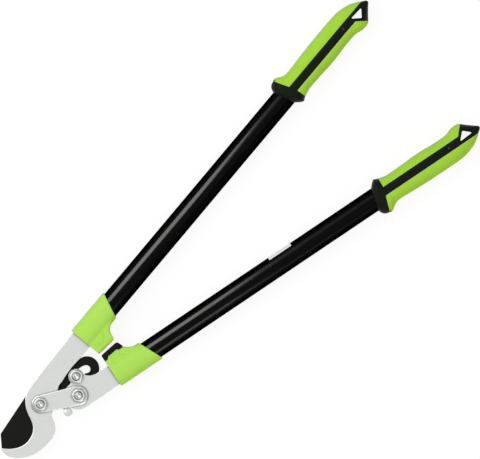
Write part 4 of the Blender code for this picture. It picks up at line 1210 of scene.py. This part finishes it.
# %% [markdown]
# ## The blade
#
# The blade is coated black all over and then ground along its cutting edge, on the side away from the hook,
# so that bevel is bare steel. Its tail has the slot in which the drive bolt runs. The slot's outline is
# what a circle sweeps when the bolt goes its way, and the way follows from the two pivots and the ratio of
# their angles.

# %% The slot
BLADE_RATIO = 0.29
SLOT_RADIUS = 4.65


def turned(points, degrees, centre=(0.0, 0.0)):
    """Points turned anticlockwise about a centre."""
    cosine, sine = np.cos(np.radians(degrees)), np.sin(np.radians(degrees))
    x, y = (np.asarray(points, float) - centre).T
    return np.stack([x * cosine - y * sine, x * sine + y * cosine], -1) + centre


def drive_path():
    """Where the drive bolt goes in the blade: turned back with the lever, then forward with the blade."""
    angles = np.linspace(*HANDLE_RANGE, 80)
    bolt = turned(np.repeat([DRIVE_PLACE], len(angles), 0), -angles, LEVER_PLACE)
    return turned(bolt, BLADE_RATIO * angles)


def slot_outline():
    """The envelope of a circle along the path: at each place, the highest and lowest circle there."""
    path = drive_path()
    chord = path[-1] - path[0]
    heading = math.degrees(math.atan2(chord[1], chord[0]))
    flat = turned(path, -heading)
    low, high = flat[:, 0].min() - SLOT_RADIUS, flat[:, 0].max() + SLOT_RADIUS
    along = (low + high) / 2 - (high - low) / 2 * np.cos(np.linspace(0, math.pi, 61)[1:-1])
    reach = SLOT_RADIUS**2 - (along[:, None] - flat[:, 0]) ** 2
    lift, touched = np.sqrt(np.maximum(reach, 0)), reach > 0
    top = np.where(touched, flat[:, 1] + lift, -99).max(1)
    bottom = np.where(touched, flat[:, 1] - lift, 99).min(1)
    near, far = [[low, flat[flat[:, 0].argmin(), 1]]], [[high, flat[flat[:, 0].argmax(), 1]]]
    below, above = np.column_stack([along, bottom]), np.column_stack([along, top])
    return from_pivot(turned(np.vstack([near, below, far, above[::-1]]), heading))


print("the bolt moves", np.hypot(*(drive_path()[-1] - drive_path()[0])).round(2), "mm along the slot")


# %% Blade surface
BLADE_EDGE = [
    (-71.6, -8.6), (-70.2, -12.4), (-65.8, -18.2), (-60, -22.6), (-53, -25.8), (-45.5, -27.3), (-38, -26.8),
    (-31, -24.3), (-24.5, -20.4), (-18.5, -16.0), (-13.6, -12.2),
]
TAIL_LOWER = [(14, -12.6), (30, -14.2), (48, -16.9), (60, -18.9)]
TAIL_UPPER = [(60, 10.6), (45, 12.6), (28, 15.9), (14, 19.2), (3, 20.9)]
TAIL_RADIUS = 15.1
TAIL_SHIFT = (1.1, 0.2)
PIVOT_DISC = 13.5
SPINE_NOSE = (-60.8, 5.6)
SPINE_LENGTH = 52.0
SPINE_RISE = math.tan(math.radians(14.4))
BLADE_RIM = (0.3, 0.3)
BEVEL = (4.5, 3.1)
BEVEL_GROWS, BEVEL_SHRINKS = 0.08, 0.12
BUSH_RADIUS = 6.3


def blade_outline():
    """The blade anticlockwise from its nose, and how many of its points are on the cutting edge."""
    edge = curve(BLADE_EDGE, 8)
    path = drive_path()
    tail = arc(path[path[:, 0].argmax()] + TAIL_SHIFT, TAIL_RADIUS, -96, 90, 70)
    spine = SPINE_NOSE + np.array([(SPINE_LENGTH, SPINE_LENGTH * SPINE_RISE), (0.0, 0.0)])
    parts = [edge, arc((0, 0), PIVOT_DISC, 232, 300, 16), TAIL_LOWER, tail, curve(TAIL_UPPER, 6), spine]
    return from_pivot(np.vstack(parts)), len(edge)


outline, on_edge = blade_outline()
place = np.linspace(0, 1, on_edge)
fade = np.zeros(len(outline))
fade[:on_edge] = np.clip(np.minimum(place / BEVEL_GROWS, (1 - place) / BEVEL_SHRINKS), 0, 1)
bevel = fading_rim(BLADE_RIM, BEVEL, fade)
openings = [slot_outline(), round_hole(MAIN_PIVOT, BUSH_RADIUS)]
blade = plate(outline, BLADE_LOW, BLADE_HIGH, bevel, BLADE_RIM, openings, steps=1)
cutter = make_piece("curved_blade", [blade], "black_coating", "blade", "cutting_blade", 20)
cutter.data.materials.append(FINISHES["ground_steel"])
bare = np.zeros(len(cutter.data.polygons), np.int32)
bare[: on_edge - 1] = 1
cutter.data.polygons.foreach_set("material_index", bare)
print("bare steel on", bare.sum(), "faces")

# %% [markdown]
# ## Nuts, bolts and washers
#
# Three nuts hold the pivots. Each is a surface of angle and profile: the radius at a row is a hexagon's, but
# never more than a cone's that chamfers its corners, and never less than the row's least. Clipping the
# hexagon between two radii gives foot, flats, chamfer and mouth in one grid. A bolt's end adds a thread: a
# triangle wave of the height less the angle's share of the pitch.

# %% Surfaces round an upright axis
HEX_HALF = 6.5
PITCH = 1.25
THREAD_DEPTH = 0.55
CORNER_BEARING = 18.0
BOLT_SIDES = 144


def spun(rows, place, base=0.0, bearing=CORNER_BEARING, loop=False):
    """Rows of hexagon half width, least radius, greatest radius, height and thread depth, round an axis."""
    half, least, most, height, thread = (column[:, None] for column in np.array(rows, float).T)
    angle = all_round(BOLT_SIDES)
    across_flat = (np.degrees(angle) - bearing) % 60 - 30
    radius = np.clip(half / np.cos(np.radians(across_flat)), least, most)
    wave = np.abs(2 * ((height / PITCH - angle / (2 * math.pi)) % 1) - 1)
    return skin(upright(place, radius - thread * wave, angle, base + height), loop)


def round_rows(pairs):
    """Plain round rows of radius and height."""
    return [(0, radius, radius, height, 0) for radius, height in pairs]


print("threads lie", PITCH, "mm apart and are", THREAD_DEPTH, "mm deep")


# %% Nuts
NUT_HOLE = BOLT_RADIUS + CLEARANCE
NUT_HALF = 7.8
NUT_FOOT = [(7.4, 0.0), (7.9, 0.15), (8.4, 0.32), (9.1, 0.55)]
NUT_CROWN = [(9.1, 5.72), (8.7, 6.04), (8.3, 6.35), (7.9, 6.65), (7.5, 6.94), (7.25, 7.1)]
NUT_MOUTH = [
    (7.05, 7.17), (6.8, 7.2), (6.3, 7.2), (5.85, 7.2), (5.6, 7.1), (5.35, 6.85), (4.8, 6.2), (4.45, 5.7),
]


def nut_rows():
    """Foot, flats and chamfered crown as a clipped hexagon, then the mouth round the thread."""
    rows = round_rows([(NUT_HOLE, 0.0), (7.1, 0.0)])
    rows += [(NUT_HALF, 0, most, height, 0) for most, height in NUT_FOOT + NUT_CROWN]
    return rows + round_rows(NUT_MOUTH + [(NUT_HOLE, 5.5)])


STRAP_NUT = STRAP_HIGH + CLEARANCE
PLATE_NUT = PLATE_HIGH + CLEARANCE
NUTS = {
    "pivot": (MAIN_PIVOT, STRAP_NUT, "fixed_handle", 16.0),
    "lever": (LEVER_PIVOT, STRAP_NUT, "fixed_handle", 22.0),
    "drive": (DRIVE_POINT, PLATE_NUT, "moving_handle", 19.0),
}
for name, (place, base, body, bearing) in NUTS.items():
    nut = spun(nut_rows(), place, base, bearing, loop=True)
    make_piece(f"{name}_hex_nut", [nut], "bolt_steel", body, f"{name}_nut", 30)

# %% [markdown]
# The bolts' ends show in the nuts' mouths: threaded, with a chamfer and a shallow dimple that the
# photograph shows as a dark spot. Behind, two bolts have hexagon heads on washers. The lever's bolt has a
# flat head let into the plate, because the blade passes close over it.

# %% Bolts
WASHER_THICKNESS = 1.5
HEAD_THICKNESS = 5.3
WASHER_HIGH = BLADE_LOW - CLEARANCE
HEAD_HIGH = WASHER_HIGH - WASHER_THICKNESS - CLEARANCE
HEAD_LOW = HEAD_HIGH - HEAD_THICKNESS
BOLT_REACH = 9.0
BOLT_END = [
    (3.75, -0.35), (3.5, -0.08), (3.3, 0.0), (2.95, 0.0), (2.75, -0.1), (2.35, -0.55), (1.7, -1.0),
    (1.0, -1.25), (0.3, -1.3),
]


def thread_rows(low):
    """Threaded rows, whose depth fades in, from where a nut sits up to the bolt's dimpled end."""
    high = low + BOLT_REACH
    height = np.arange(low, high - 0.45, 0.1)
    depth = THREAD_DEPTH * np.clip((height - low) / PITCH, 0, 1)
    rows = [(0, BOLT_RADIUS, BOLT_RADIUS, level, thread) for level, thread in zip(height, depth)]
    return rows + round_rows([(radius, high + drop) for radius, drop in BOLT_END])


def head_rows(low, high):
    """A hexagon head from the middle of its underside, with chamfered corners and a washer face."""
    start = round_rows([(0.3, low + 0.12), (4.6, low + 0.12), (5.0, low)])
    corners = [(5.9, 0.02), (6.3, 0.14), (6.6, 0.3), (6.9, 0.48), (7.2, 0.68), (7.52, 0.9)]
    rows = [(HEX_HALF, 0, most, low + lift, 0) for most, lift in corners]
    rows += [(HEX_HALF, 0, 7.6, high - 0.5, 0), (HEX_HALF, 0, 6.5, high - 0.35, 0)]
    return start + rows + round_rows([(6.3, high - 0.1), (6.2, high), (BOLT_RADIUS, high)])


HEX_HEAD = head_rows(HEAD_LOW, HEAD_HIGH)
SHOULDER = round_rows([
    (BOLT_RADIUS, BLADE_LOW), (SHOULDER_RADIUS, BLADE_LOW + 0.2), (SHOULDER_RADIUS, PLATE_HIGH - 0.4),
    (BOLT_RADIUS, PLATE_HIGH - 0.3),
])
FLAT_HEAD = round_rows([
    (0.3, PLATE_LOW + 0.25), (2.0, PLATE_LOW + 0.2), (2.3, PLATE_LOW), (7.2, PLATE_LOW),
    (FLUSH_HEAD, PLATE_LOW + 0.3), (FLUSH_HEAD, PLATE_LOW + 1.8), (5.0, PLATE_LOW + 1.8), (5.0, PLATE_HIGH),
    (BOLT_RADIUS, PLATE_HIGH),
])
BOLT_FORMS = {"pivot": HEX_HEAD, "drive": HEX_HEAD + SHOULDER, "lever": FLAT_HEAD}
for name, form in BOLT_FORMS.items():
    place, base, body, _ = NUTS[name]
    bolt = spun(form + thread_rows(base), place)
    make_piece(f"{name}_threaded_bolt", [bolt], "bolt_steel", body, f"{name}_bolt")

# %% Washers
WASHER_ROWS = round_rows([
    (NUT_HOLE, -WASHER_THICKNESS), (9.2, -WASHER_THICKNESS), (9.5, 0.25 - WASHER_THICKNESS), (9.5, -0.25),
    (9.2, 0.0), (NUT_HOLE, 0.0),
])
for name in ("pivot", "drive"):
    place, _, body, _ = NUTS[name]
    washer = spun(WASHER_ROWS, place, WASHER_HIGH, loop=True)
    make_piece(f"{name}_plain_washer", [washer], "bolt_steel", body, f"{name}_washer")

# %% [markdown]
# ## Grip screws
#
# A small screw pins each grip to its tube, deep in its recess. Its head is a grid of radius and angle: a low
# dome, with a cross sunk into it where a point is near one of two lines through the middle.

# %% Screws
SCREW_TOP = AXIS_HEIGHT + 15.9
SCREW_HEAD = 1.9
SCREW_DROP = 0.45
SCREW_SIDES = 96


def screw_surface(place):
    """Shank, head and cross recess as rings about an upright axis."""
    angle = all_round(SCREW_SIDES)
    below = [(0.4, -6.5), (1.3, -5.2), (1.3, -1.1), (SCREW_HEAD, -1.1), (SCREW_HEAD, -SCREW_DROP)]
    radius = np.concatenate([[row[0] for row in below], np.linspace(1.82, 0.05, 26)])[:, None]
    dome = -SCREW_DROP * (radius / SCREW_HEAD) ** 3
    x, y = np.abs(radius * np.cos(angle)), np.abs(radius * np.sin(angle))
    across, length = np.minimum(x, y), np.maximum(x, y)
    cross = np.clip((0.36 - across) / 0.12, 0, 1) * np.clip((1.25 - length) / 0.2, 0, 1)
    height = dome - 0.8 * cross
    height[: len(below)] = np.array([row[1] for row in below])[:, None]
    return skin(upright(place, radius, angle, SCREW_TOP + height))


for side in SIDES:
    place = on_grip(side, TUBE_IN_GRIP - SCREW_BACK, -SCREW_INWARD, 0.0)
    name, node = f"{side}_cross_screw", f"{side}_grip_screw"
    make_piece(name, [screw_surface(place)], "screw_black", BODY[side], node)

# %% [markdown]
# ## A plain label
#
# The moving tube has a pale paper label on its inner side. Here it's blank: a thin patch of the tube's own
# curve, a little larger in radius, with its edges closed.

# %% Label
LABEL_PLACES = (287.5, 320.0)
LABEL_ANGLES = (138.0, 222.0)
LABEL_GAP = 0.02
LABEL_THICKNESS = 0.1

along = np.linspace(*LABEL_PLACES, 20)[:, None]
angle = np.radians(np.linspace(*LABEL_ANGLES, 24))[None]
under = ring("moving", along, TUBE_RADIUS + LABEL_GAP, angle)
over = ring("moving", along, TUBE_RADIUS + LABEL_THICKNESS, angle)
label = skin(np.concatenate([under, over[:, ::-1]], 1))
make_piece("blank_label", [label], "label_white", "moving_handle", crease=60)

# %% [markdown]
# ## The solids that stay
#
# Dowels, bush, inserts, tang pins and the rubber buffer keep their own shape, and most are hidden. They
# still get their finishes, because the lopper may be taken apart on screen.

# %% Finishes for the remaining solids
NODE_FINISH = {
    "link_dowel": "bolt_steel", "pivot_bush": "bronze", "tang_insert": "plug_grey", "tang_pin": "bolt_steel",
    "bumper": "rubber_black",
}
for name, node in frame["nodes"].items():
    if node.hide_render:
        continue
    finish = next(finish for part, finish in NODE_FINISH.items() if part in name)
    node.data.materials.clear()
    node.data.materials.append(FINISHES[finish])
    print(name, "keeps its shape and gets", finish)
